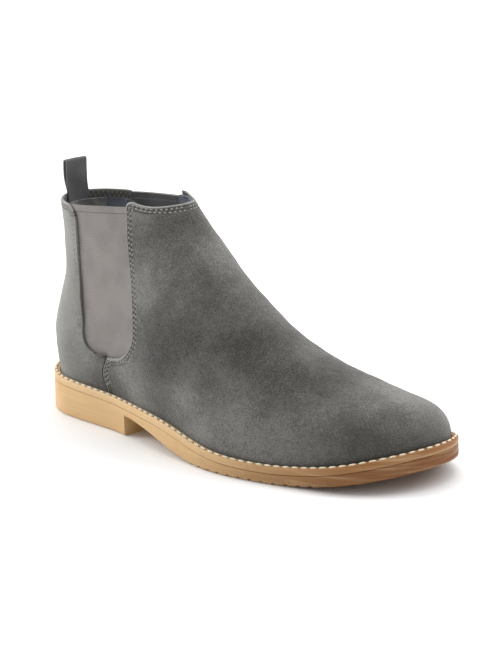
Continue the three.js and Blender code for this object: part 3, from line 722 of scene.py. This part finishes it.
def hemProfile(distance):
    # rounded rim at a free edge, with two sewn grooves behind it
    d = np.asarray(distance, float)
    roll = -0.8 * np.clip(1 - d / suede["rolled"], 0, 1) ** 2
    rim = suede["rim"] * np.exp(-((d - 1.15) / 0.55) ** 2)
    grooves = sum(suede["groove"] * np.exp(-((d - row) / 0.42) ** 2) for row in suede["rows"])
    return roll + rim - grooves


def edgeDistance(points, border):
    flat = points.reshape(-1, 3)
    best = np.full(len(flat), 1e9)
    for start in range(0, len(border), 64):
        gaps = np.linalg.norm(flat[:, None] - border[None, start:start + 64], axis=-1).min(1)
        best = np.minimum(best, gaps)
    return best.reshape(points.shape[:-1])


def denseLine(points, step=0.25):
    run = np.concatenate([[0], np.cumsum(np.linalg.norm(np.diff(points, axis=0), axis=1))])
    wanted = np.arange(0, run[-1], step)
    return np.stack([np.interp(wanted, run, points[:, k]) for k in range(3)], -1)


def millimetreUv(points):
    across = np.linalg.norm(np.diff(points, axis=1), axis=-1)
    along = np.linalg.norm(np.diff(points, axis=0), axis=-1)
    u = np.concatenate([np.zeros((len(points), 1)), np.cumsum(across, 1)], 1)
    u -= u[:, [u.shape[1] // 2]]
    v = np.concatenate([np.zeros((1, points.shape[1])), np.cumsum(along, 0)], 0)
    return np.stack([u, v], -1)


def suedePanel(name, patch, facing, sides, rows, columns, radius, waveSeed):
    s, t = panelGrid(patch, facing, sides, rows, columns, radius)
    points = patch(s, t)
    normal = patchFrame(patch, s, t, facing)[0]
    borders = [points[-1]] + [points[:, 0 if side < 0 else -1] for side in sides]
    border = np.concatenate([denseLine(line) for line in borders])
    distance = edgeDistance(points, border)
    loose = smoothStep(distance, 3, 16) * smoothStep(t, 0, 0.12)
    wave = suede["wave"] * softWave(points, seed=waveSeed) * loose
    raised = hemProfile(distance) + wave
    laid = points + normal * raised[..., None]
    flatNormal = unit(normal[0] * (1, 1, 0))
    skirt = []
    for drop in suede["skirt"][::-1]:
        under = points[0] + flatNormal * (-0.25 * drop) - np.array([0, 0, drop])
        skirt.append(under)
    laid = np.concatenate([np.array(skirt), laid])
    skirtShape = (len(skirt), points.shape[1])
    distance = np.concatenate([np.full(skirtShape, 20.0), distance])
    raised = np.concatenate([np.zeros(skirtShape), raised])
    outward = np.concatenate([np.repeat(flatNormal[None], len(skirt), 0), normal])
    panel, (i, j) = placedGrid(name, laid, outward, millimetreUv(laid))
    pointValues(panel, "hem", np.clip(distance[i, j] / 6, 0, 1))
    thinned = np.clip((suede["thickness"] + np.minimum(raised[i, j], 0)) / suede["thickness"], 0.3, 1)
    addWall(panel, suede["thickness"], thinned)
    smoothShade(panel, 50)
    panel.data.materials.append(suedeGrey)
    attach(panel, "boot")
    return panel


vamp = suedePanel("suede_vamp", vampPatch, 1, (-1, 1), 120, 46, suede["vampCorner"], 0.4)
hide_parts("vamp")
for side, label in ((-1, "lateral"), (1, "medial")):
    suedePanel("suede_quarter_" + label, quarterPatch, -1, (side,), 60, 20,
                                suede["quarterCorner"], 2.0 + side)
    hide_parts("quarter_" + label)
print("suede panels laid")


# ---------- elastic sides ----------

elastic = {"depth": 1.9, "thickness": 1.2, "band": 4.2, "bandRise": 0.55}


def elasticSide(side, label):
    patch = gorePatch(side)
    facing = 1 if side < 0 else -1
    s = np.linspace(0, 1, 60)[None]
    t = np.concatenate([np.linspace(0, 0.93, 78), np.linspace(0.933, 1, 26)])[:, None]
    points = patch(s, t)
    normal, _, _, tScale = patchFrame(patch, s, t, facing)
    fromTop = (1 - np.broadcast_to(t, tScale.shape)) * tScale
    fold = elastic["bandRise"] * (smoothStep(fromTop, elastic["band"] + 0.5, elastic["band"] - 0.2))
    fold = fold - 0.45 * np.clip(1 - fromTop / 0.7, 0, 1) ** 2
    rest = 0.18 * softWave(points, 30, side)
    depth = elastic["depth"] - np.minimum(fold, 0.35) * 1.0 - rest * smoothStep(fromTop, 4, 20)
    laid = points - normal * depth[..., None]
    panel, (i, j) = placedGrid("elastic_" + label, laid, normal, millimetreUv(laid))
    pointValues(panel, "band", smoothStep(fromTop[i, j], elastic["band"] + 0.3, elastic["band"] - 0.3))
    panel.data.materials.append(goreTaupe)
    panel.data.materials.append(goreInner)
    addWall(panel, elastic["thickness"], inside=1)
    smoothShade(panel, 50)
    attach(panel, "boot")
    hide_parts("gore_" + label)
    return panel


elasticSide(-1, "lateral")
elasticSide(1, "medial")
print("elastic sides laid")


# ---------- linings and heel strip ----------------

lining = {"depth": 3.7, "thickness": 0.8, "topDepth": 1.65, "below": 0.9, "facing": 5.8, "corner": 10.5,
          "gripSpan": 0.52, "gripGap": 0.4}


def innerLayer(name, patch, facing, sRange, tRange, deeper, thickness, material, replaced, below):
    s = np.linspace(*sRange, 90)[None]
    t = np.concatenate([np.linspace(tRange[0], 0.9, 50)[:-1], np.linspace(0.9, 1, 20)])[:, None]
    normal, _, sScale, tScale = patchFrame(patch, s, t, facing)
    t = 1 - (1 - t) * (1 - below / tScale) - below / tScale
    fromTop = (1 - t) * tScale
    fromEdge = (1 - np.abs(np.broadcast_to(s, t.shape))) * sScale
    fromEdge, fromTop = roundedCorner(fromEdge, fromTop, lining["corner"])
    s, t = np.sign(s) * (1 - fromEdge / sScale), 1 - fromTop / tScale
    points = patch(s, t)
    out = 1 - smoothStep(fromTop - below, 0.5, 8)
    out = out * smoothStep(fromEdge, 8, 13)
    if facing < 0:
        out = out * smoothStep(np.abs(points[..., 1]), 11, 16)
    depth = mix(lining["depth"], lining["topDepth"], out) + deeper
    wave = 0.25 * softWave(points, 34, deeper + facing) * smoothStep(fromTop, 5, 25)
    laid = points - normal * (depth + wave)[..., None]
    layer, _ = placedGrid(name, laid, normal, millimetreUv(laid))
    addWall(layer, thickness)
    smoothShade(layer, 50)
    layer.data.materials.append(material)
    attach(layer, "boot")
    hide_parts(replaced)
    return layer


innerLayer("vamp_lining_cloth", vampPatch, 1, (-1, 1), (0.0, 1), 0, lining["thickness"], liningBlue,
           "vamp_lining", lining["below"])
for side, label in ((-1, "lateral"), (1, "medial")):
    innerLayer("quarter_lining_cloth_" + label, quarterPatch, -1, sorted((0.012 * side, side)), (0.0, 1), 0,
               lining["thickness"], liningBlue, "quarter_lining_" + label, lining["facing"])
innerLayer("heel_strip", quarterPatch, -1, (-lining["gripSpan"], lining["gripSpan"]), (0.32, 1),
           lining["thickness"] + lining["gripGap"], 1.0, suedeBare, "heel_grip", lining["facing"])
print("linings laid")


# ---------- seam stitches ----------

sewing = {"pitch": 3.2, "length": 1.75, "width": 1.0, "height": 0.62, "lift": -0.08}


def stitchMaster(name, length, width, height, material, segments=8, rings=5):
    # a plump stitch along X, its middle at the origin
    bpy.ops.object.select_all(action="DESELECT")
    bpy.ops.mesh.primitive_uv_sphere_add(segments=segments, ring_count=rings, radius=0.0005)
    master = bpy.context.object
    master.name = name
    bpy.ops.object.mode_set(mode="EDIT")
    bpy.ops.mesh.select_all(action="SELECT")
    bpy.ops.transform.rotate(value=math.pi / 2, orient_axis="Y", center_override=(0, 0, 0))
    bpy.ops.transform.resize(value=(length, width, height))
    bpy.ops.object.mode_set(mode="OBJECT")
    master.data.materials.append(material)
    bpy.ops.object.shade_smooth()
    return master


def stitchPlaces(patch, s, t, facing, pitch, phase, sink):
    # one place every pitch along a line on a panel
    points = patch(s, t)
    normal = patchFrame(patch, s, t, facing)[0]
    points = points + normal * sink
    run = np.concatenate([[0], np.cumsum(np.linalg.norm(np.diff(points, axis=0), axis=1))])
    places = []
    for at in np.arange(pitch * (0.5 + phase), run[-1] - 0.5 * pitch, pitch):
        middle, ahead, behind, up = [
            np.array([np.interp(where, run, line[:, k]) for k in range(3)])
            for where, line in ((at, points), (at + 0.4, points), (at - 0.4, points), (at, normal))]
        places.append(placeMatrix(middle, ahead - behind, up))
    return places


def placeMatrix(middle, along, up):
    x = Vector(along).normalized()
    z = Vector(up)
    z = (z - x * z.dot(x)).normalized()
    y = z.cross(x)
    turn = Matrix((x, y, z)).transposed().to_4x4()
    return Matrix.Translation(Vector(toFrame(middle))) @ turn


def panelRow(patch, facing, side, distance, radius, middleGap, lowest):
    # line of s and t at a distance inside the free edge: up the side edge, round the corner, along the top
    low = np.linspace(lowest, 0.995, 400)
    edgeScale = patchFrame(patch, np.full(low.shape, 0.999 * side), low, facing)[2]
    ahead = unit(patch(side * 0.999, low + 0.004) - patch(side * 0.999, low - 0.004))
    across = unit(patch(side * 0.999, low) - patch(side * 0.985, low))
    edgeScale = edgeScale * np.maximum(np.linalg.norm(np.cross(ahead, across), axis=-1), 0.45)
    topScale = patchFrame(patch, np.array(0.5 * side), np.array(0.995), facing)[3]
    turnT = 1 - radius / topScale
    up = low < turnT
    upS, upT = 1 - distance / edgeScale[up], low[up]
    bend = np.linspace(0, math.pi / 2, 24)
    cornerScale = edgeScale[-1]
    reach = max(radius - distance, 0.05)
    bendS = 1 - (radius - reach * np.cos(bend)) / cornerScale
    bendT = 1 - (radius - reach * np.sin(bend)) / topScale
    topS = np.linspace(bendS[-1], middleGap, 200)[1:]
    topT = np.full(topS.shape, 1 - distance / topScale)
    return side * np.concatenate([upS, bendS, topS]), np.concatenate([upT, bendT, topT])


def sewPanel(name, patch, facing, sides, radius, middleGap, material, lowest, lift):
    master = stitchMaster("one stitch", sewing["length"], sewing["width"], sewing["height"], material)
    places = []
    for side in sides:
        for order, distance in enumerate(suede["rows"]):
            s, t = panelRow(patch, facing, side, distance, radius, middleGap, lowest)
            places += stitchPlaces(patch, s, t, facing, sewing["pitch"], 0.5 * order, lift)
    row = joined(name, [copyAt(master, place) for place in places])
    bpy.data.objects.remove(master)
    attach(row, "boot")
    return row


sewPanel("vamp_stitching", vampPatch, 1, (-1, 1), suede["vampCorner"], 0.0, threadGrey, 0.03, sewing["lift"])
for side, label in ((-1, "lateral"), (1, "medial")):
    sewPanel("quarter_stitching_" + label, quarterPatch, -1, (side,), suede["quarterCorner"], 0.03,
             threadDull, 0.4, sewing["lift"])
    # the same rows seen on the inside, on the suede facing under the collar
    sewPanel("facing_stitching_" + label, quarterPatch, -1, (side,), suede["quarterCorner"], 0.16,
             threadDull, 0.96, -suede["thickness"])
print("seams sewn")


# ---------- sole and rim ----------

rim = {"overhang": 4.2, "thickness": 4.4, "clearance": 0.5, "edge": 0.9, "trench": 0.35,
       "stitchOut": 2.5, "stitchLength": 4.5, "stitchWidth": 1.7, "stitchHeight": 1.35, "pitch": 5.95}
sole = {"top": 4.55, "heelLength": 98, "breast": 12.5, "treadStart": 178, "treadEnd": 226, "toeSpring": 11.7,
        "bevel": 1.8, "step": 0.55, "groovePitch": 7.5, "grooveWidth": 1.7, "grooveDepth": 1.1,
        "border": 7.0, "ribPitch": 2.2, "ribDepth": 0.14, "dent": 0.07}


def outlineAt(angle, outset):
    def place(a):
        turn = np.mod(a, 2 * math.pi)
        x = mix(backFoot, foot["length"], (1 - np.cos(turn)) / 2)
        return lastPoint(x, seatLine(x), np.where(turn <= math.pi, -1, 1))
    angle = np.asarray(angle, float)
    along = place(angle + 0.01) - place(angle - 0.01)
    normal = unit(np.stack([along[..., 1], -along[..., 0], np.zeros(angle.shape)], -1))
    return place(angle) + normal * np.asarray(outset, float)[..., None]


def evenAngles(step):
    # angles from heel to toe that lie evenly along the outline, the same for both sides
    fine = np.linspace(0, math.pi, 6001)
    sides = [outlineAt(way * fine, rim["overhang"]) for way in (1, -1)]
    lengths = [np.linalg.norm(np.diff(side, axis=0), axis=1) for side in sides]
    run = np.concatenate([[0], np.cumsum(sum(lengths) / 2)])
    return np.interp(np.linspace(0, run[-1], int(run[-1] / step)), run, fine)


def sweptRing(name, angles, section):
    # carries a closed section, a list of (outset, height) arrays, round the outline
    whole = np.concatenate([angles, 2 * math.pi - angles[-2:0:-1], [2 * math.pi]])
    rows = [outlineAt(whole, outset) * (1, 1, 0) + np.stack([0 * whole, 0 * whole, height], -1)
            for outset, height in section(whole)]
    rows.append(rows[0])
    ring, _ = placedGrid(name, np.stack(rows))
    mergeDoubles(ring)
    return ring


def rimSection(angle):
    x = outlineAt(angle, 0 * angle)[..., 0]
    top = seatLine(x)
    out = rim["overhang"]
    profile = [(rim["clearance"], -0.1), (rim["clearance"] + 0.25, 0)]
    middle, half = rim["stitchOut"], rim["stitchWidth"] / 2
    profile += [(middle - half, 0), (middle - 0.6 * half, -rim["trench"])]
    profile += [(middle + 0.6 * half, -rim["trench"]), (middle + half, 0)]
    profile += [(out - rim["edge"] * (1 - math.sin(a)), -rim["edge"] * (1 - math.cos(a)))
                for a in np.linspace(0, math.pi / 2, 5)]
    profile += [(out, -0.5 * rim["thickness"]), (out, 0.3 - rim["thickness"])]
    profile += [(out - 0.1, 0.1 - rim["thickness"]), (out - 0.6, -rim["thickness"])]
    profile += [(rim["clearance"], -rim["thickness"])]
    return [(np.full(angle.shape, outset), top + height) for outset, height in profile]


def groundLine(x):
    waist = sole["breast"] * (1 - smoothStep(x, sole["heelLength"], sole["treadStart"]))
    intoToe = np.clip((x - sole["treadEnd"]) / (foot["length"] - sole["treadEnd"]), 0, 1)
    spring = sole["toeSpring"] * intoToe ** 1.8
    return np.where(x <= sole["heelLength"], 0, waist + spring)


def treadGroove(x):
    # how deep the cross grooves are at a place along the sole, under the heel and the forefoot
    phase = np.abs(np.mod(x / sole["groovePitch"], 1) - 0.5) * sole["groovePitch"]
    groove = smoothStep(phase, sole["grooveWidth"] / 2 + 0.35, sole["grooveWidth"] / 2 - 0.35)
    heel = smoothStep(x, 8, 14) * smoothStep(x, 92, 88)
    ball = smoothStep(x, 146, 152) * smoothStep(x, 284, 276)
    return sole["grooveDepth"] * groove * (heel + ball)


def soleStations():
    angles = evenAngles(sole["step"])
    # a pair of stations close to each other makes the heel breast upright
    share = 2 * (sole["heelLength"] - backFoot) / (foot["length"] - backFoot)
    breast = math.acos(1 - share)
    angles = angles[np.abs(angles - breast) > 0.004]
    return np.sort(np.append(angles, [breast - 1e-4, breast + 1e-4]))


def stationGround(angle):
    x = mix(backFoot, foot["length"], (1 - np.cos(angle)) / 2)
    return x, groundLine(x)


def soleSection(angle):
    x, ground = stationGround(angle)
    top = seatLine(outlineAt(angle, 0 * angle)[..., 0]) - sole["top"]
    out = rim["overhang"]
    forefoot = smoothStep(x, 165, 185)
    steps = np.linalg.norm(np.diff(outlineAt(angle, out + 0 * angle), axis=0), axis=1)
    run = np.concatenate([[0], np.cumsum(steps)])
    rib = sole["ribDepth"] * np.cos(2 * math.pi * run / sole["ribPitch"]) * forefoot
    notch = treadGroove(x) * smoothStep(x, 160, 175) * smoothStep(x, 262, 248)
    wall = top - 0.5 - ground
    rows = [(np.full(angle.shape, rim["clearance"]), top), (out - 0.7 + 0 * x, top)]
    rows += [(out - 0.1 + 0 * x, top - 0.1), (out + 0 * x, top - 0.3)]
    for share in (0.25, 0.45, 0.5, 0.55):
        dent = sole["dent"] * (share == 0.5) * forefoot
        rows.append((out - dent + 0 * x, top - 0.3 - share * (wall - sole["bevel"])))
    for share in (0.62, 0.8, 1.0):
        rows.append((out + rib, top - 0.3 - share * (wall - sole["bevel"])))
    for a in np.linspace(0, math.pi / 2, 6)[1:]:
        outset = out - sole["bevel"] * (1 - math.cos(a)) + rib * (1 - math.sin(a))
        rows.append((outset, ground + sole["bevel"] * (1 - math.sin(a)) + notch * math.sin(a)))
    return rows


def gumSoleUnit():
    angles = soleStations()
    whole = np.concatenate([angles, 2 * math.pi - angles[-2:0:-1], [2 * math.pi]])
    section = soleSection(whole)
    rows = [outlineAt(whole, outset) * (1, 1, 0) + np.stack([0 * whole, 0 * whole, height], -1)
            for outset, height in section]
    wall, _ = placedGrid("sole_wall", np.stack(rows))
    count = len(angles)
    lateral, medial = rows[-1][:count], rows[-1][::-1][:count]
    x, ground = stationGround(angles)
    width = np.linalg.norm(medial - lateral, axis=1)
    steps = np.array([0, 2.5, sole["border"], sole["border"] + 0.7])
    steps = np.concatenate([steps, np.linspace(sole["border"] + 0.7, 50, 8)[1:]])
    across = []
    for step in steps:
        across.append(np.minimum(step / np.maximum(width, 1e-6), 0.5 * step / 50))
    shares = np.array(across)
    shares = np.concatenate([shares, 1 - shares[-2::-1]])
    edgeNotch = treadGroove(x) * smoothStep(x, 160, 175) * smoothStep(x, 262, 248)
    inner = np.concatenate([[0, 0, 0], np.ones(len(steps) - 3)])
    inner = np.concatenate([inner, inner[-2::-1]])
    bottom = []
    for share, inside in zip(shares, inner):
        line = mix(lateral, medial, share[:, None])
        line[:, 2] = ground + (treadGroove(x) if inside else edgeNotch)
        bottom.append(line)
    bottom[0], bottom[-1] = lateral, medial
    floor, _ = placedGrid("sole_floor", np.stack(bottom))
    topLateral, topMedial = rows[0][:count], rows[0][::-1][:count]
    cap = [mix(topLateral, topMedial, share) for share in np.linspace(0, 1, 9)]
    lid, _ = placedGrid("sole_lid", np.stack(cap))
    unitPiece = joined("gum_sole", [wall, floor, lid])
    mergeDoubles(unitPiece, 2e-5)
    smoothShade(unitPiece, 42)
    unitPiece.data.materials.clear()
    unitPiece.data.materials.append(gumSole)
    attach(unitPiece, "boot")
    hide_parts("outsole")
    return unitPiece


def rimPiece():
    ring = sweptRing("gum_rim", evenAngles(1.1), rimSection)
    smoothShade(ring, 42)
    ring.data.materials.append(gumRim)
    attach(ring, "boot")
    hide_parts("welt")


def rimStitches():
    master = stitchMaster("one rim stitch", rim["stitchLength"], rim["stitchWidth"], rim["stitchHeight"],
                          threadCream, 10, 7)
    fine = np.linspace(0, 2 * math.pi, 8001)
    line = outlineAt(fine, np.full(fine.shape, rim["stitchOut"]))
    line[:, 2] = seatLine(outlineAt(fine, 0 * fine)[..., 0]) + 0.12
    run = np.concatenate([[0], np.cumsum(np.linalg.norm(np.diff(line, axis=0), axis=1))])
    count = round(run[-1] / rim["pitch"])
    places = []
    for at in (np.arange(count) + 0.5) * run[-1] / count:
        middle, ahead, behind = [np.array([np.interp(where, run, line[:, k]) for k in range(3)])
                                 for where in (at, at + 0.5, at - 0.5)]
        places.append(placeMatrix(middle, ahead - behind, (0, 0, 1)))
    row = joined("rim_stitches", [copyAt(master, place) for place in places])
    bpy.data.objects.remove(master)
    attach(row, "boot")
    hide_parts("welt_thread")


gumSoleUnit()
rimPiece()
rimStitches()
print("sole and rim made")


# ---------- sock ----------

sock = {"inset": 5.5, "under": 1.0, "thickness": 3.6, "crown": 0.9}


def sockPad():
    angles = evenAngles(4.0)
    inset = np.full(angles.shape, -sock["inset"])
    lateral, medial = outlineAt(angles, inset), outlineAt(-angles, inset)
    rows = []
    for share in 0.5 - 0.5 * np.cos(np.linspace(0, math.pi, 25)):
        line = mix(lateral, medial, share)
        rise = sock["under"] + sock["thickness"] * (0.55 + 0.45 * math.sin(math.pi * share) ** 0.4)
        cup = sock["crown"] * (abs(2 * share - 1) ** 3)
        line[:, 2] = seatLine(line[:, 0]) - 0.2 + rise + cup - sock["crown"]
        rows.append(line)
    pad, _ = placedGrid("sock", np.stack(rows), np.tile([0.0, 0.0, 1.0], (25, len(angles), 1)),
                        millimetreUv(np.stack(rows)))
    mergeDoubles(pad, 2e-5)
    addWall(pad, sock["thickness"] - 0.9)
    smoothShade(pad, 60)
    pad.data.materials.append(sockBlue)
    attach(pad, "boot")
    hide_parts("sock_lining")


sockPad()
print("sock laid")


# ---------- pull tab ----------

def pullTab():
    # one band of webbing: up the back, over the fold and down again, both ends sewn in under the collar
    half = tab["gap"] / 2 + tab["thickness"] / 2
    hingeZ = foot["collarBack"] + tab["lift"]
    foldZ = hingeZ + tab["height"] - tab["gap"] / 2 - tab["thickness"]
    lowZ = foot["collarBack"] - tab["tail"]
    legDepth = tab["depth"] + tab["thickness"] / 2
    openOut = lambda z: smoothStep(z, hingeZ - 0.5, hingeZ + 9.5)

    def legX(z, way):
        sewn = backLine(z) + legDepth + (tab["thickness"] + 0.02 if way > 0 else 0)
        return mix(sewn, hingeX + way * half, openOut(z))
    upZ = np.linspace(lowZ, foldZ, 70)
    outer = np.stack([legX(upZ, -1), upZ], -1)
    turn = np.linspace(math.pi, 0, 26)[1:-1]
    fold = np.stack([hingeX + half * np.cos(turn), foldZ + half * np.sin(turn)], -1)
    inner = np.stack([legX(upZ[::-1], 1), upZ[::-1]], -1)
    path = np.concatenate([outer, fold, inner])
    across = np.linspace(-1, 1, 40) * tab["width"] / 2
    curlX = np.linspace(0, 9, 200)
    edgeX = float(backLine(foot["collarBack"]))
    curlY = halfWidth(edgeX + curlX, np.full(200, float(foot["collarBack"])), -1)
    curl = np.interp(np.abs(across), curlY, curlX)
    points = np.empty((len(path), len(across), 3))
    held = 1 - smoothStep(path[:, 1], foot["collarBack"], foot["collarBack"] + 11)
    points[..., 0] = path[:, :1] + curl[None] * held[:, None]
    points[..., 1] = across[None] * (1 - 0.012 * held[:, None])
    points[..., 2] = path[:, 1:]
    rows = np.arange(len(path))[:, None]
    # the woven edges stand a little proud and the faces sag a little between them
    outward = np.stack([np.gradient(path[:, 1]), -np.gradient(path[:, 0])], -1)
    outward = -outward / np.linalg.norm(outward, axis=1, keepdims=True)
    sag = 0.12 * np.sin(rows * 0.19) * np.cos(across * 0.35)[None] * (1 - held[:, None])
    points[..., 0] += outward[:, :1] * sag
    points[..., 2] += outward[:, 1:] * sag
    normal = np.zeros_like(points)
    normal[..., 0], normal[..., 2] = outward[:, :1], outward[:, 1:]
    band, _ = placedGrid("webbing_tab", points + normal * tab["thickness"] / 2, normal, millimetreUv(points))
    addWall(band, tab["thickness"])
    smoothShade(band, 50)
    band.data.materials.append(webbingDark)
    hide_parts("pull_tab", "pull_tab_tails")
    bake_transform(band)


pullTab()
print("pull tab folded and sewn in")


# ---------- the frame's own inner pieces ----------

innerFinish = {"bottom_filler": corkBrown, "shank": steelStrip, "insole_board": boardTan,
               "toe_puff": stiffenerPale, "heel_counter": stiffenerPale}
for node, material in innerFinish.items():
    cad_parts[node].data.materials.clear()
    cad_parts[node].data.materials.append(material)


# ---------- floor, light and camera ----------

stage = {"floor": 24.0, "world": 0.55, "lens": 120.2, "azimuth": 46.78, "elevation": 16.08, "roll": -1.11,
         "distance": 1.3624, "aside": 0.01546, "up": -0.00488, "target": toFrame((150, 0, 75))}


def floorMaterial():
    material, tree, shader = makeMaterial("pale floor")
    grain = noiseNode(tree, objectPlace(tree), 3.0, 4, 0.5)
    color = mixColor(tree, grain, (0.86, 0.86, 0.86), (0.89, 0.89, 0.89))
    tree.links.new(color, shader.inputs["Base Color"])
    tree.links.new(rangeNode(tree, grain, 0.3, 0.7, 0.85, 0.95), shader.inputs["Roughness"])
    return material


def makeFloor():
    bpy.ops.object.select_all(action="DESELECT")
    bpy.ops.mesh.primitive_plane_add(size=stage["floor"])
    floor = bpy.context.object
    floor.name = "floor"
    floor.data.materials.append(floorMaterial())


def softbox(name, azimuth, elevation, distance, size, power, color=(1, 1, 1)):
    a, e = math.radians(azimuth), math.radians(elevation)
    back = Vector((math.sin(a) * math.cos(e), -math.cos(a) * math.cos(e), math.sin(e)))
    lamp = bpy.data.lights.new(name, "AREA")
    lamp.shape, lamp.size, lamp.size_y = "RECTANGLE", size[0], size[1]
    lamp.energy, lamp.color = power, color
    holder = bpy.data.objects.new(name, lamp)
    holder.location = Vector(stage["target"]) + back * distance
    holder.rotation_euler = (-back).to_track_quat("-Z", "Y").to_euler()
    bpy.context.collection.objects.link(holder)


def skylight(name, azimuth, elevation, strength, spread):
    a, e = math.radians(azimuth), math.radians(elevation)
    back = Vector((math.sin(a) * math.cos(e), -math.cos(a) * math.cos(e), math.sin(e)))
    lamp = bpy.data.lights.new(name, "SUN")
    lamp.energy, lamp.angle = strength, math.radians(spread)
    holder = bpy.data.objects.new(name, lamp)
    holder.rotation_euler = (-back).to_track_quat("-Z", "Y").to_euler()
    bpy.context.collection.objects.link(holder)


def makeCamera():
    a, e, r = [math.radians(stage[key]) for key in ("azimuth", "elevation", "roll")]
    back = Vector((math.sin(a) * math.cos(e), -math.cos(a) * math.cos(e), math.sin(e)))
    right = Vector((math.cos(a), math.sin(a), 0))
    up = back.cross(right)
    right, up = right * math.cos(r) + up * math.sin(r), up * math.cos(r) - right * math.sin(r)
    data = bpy.data.cameras.new("camera")
    data.lens, data.sensor_width = stage["lens"], 36
    data.clip_start, data.clip_end = 0.05, 60
    camera = bpy.data.objects.new("camera", data)
    camera.matrix_world = Matrix((right, up, back)).transposed().to_4x4()
    offset = right * stage["aside"] + up * stage["up"] + back * stage["distance"]
    camera.location = Vector(stage["target"]) + offset
    bpy.context.collection.objects.link(camera)
    bpy.context.scene.camera = camera


makeFloor()
# azimuth and elevation in degrees, then distance, size and power
softbox("left softbox", -66, 26, 2.2, (1.4, 1.4), 34)
softbox("right softbox", 151, 38, 2.2, (1.2, 1.4), 20)
skylight("overhead light", 216, 66, 2.1, 50)
makeCamera()
world = bpy.data.worlds.new("studio")
world.use_nodes = True
world.node_tree.nodes["Background"].inputs["Color"].default_value = (0.98, 0.99, 1, 1)
world.node_tree.nodes["Background"].inputs["Strength"].default_value = stage["world"]
bpy.context.scene.world = world
bpy.context.scene.view_settings.view_transform = "Standard"
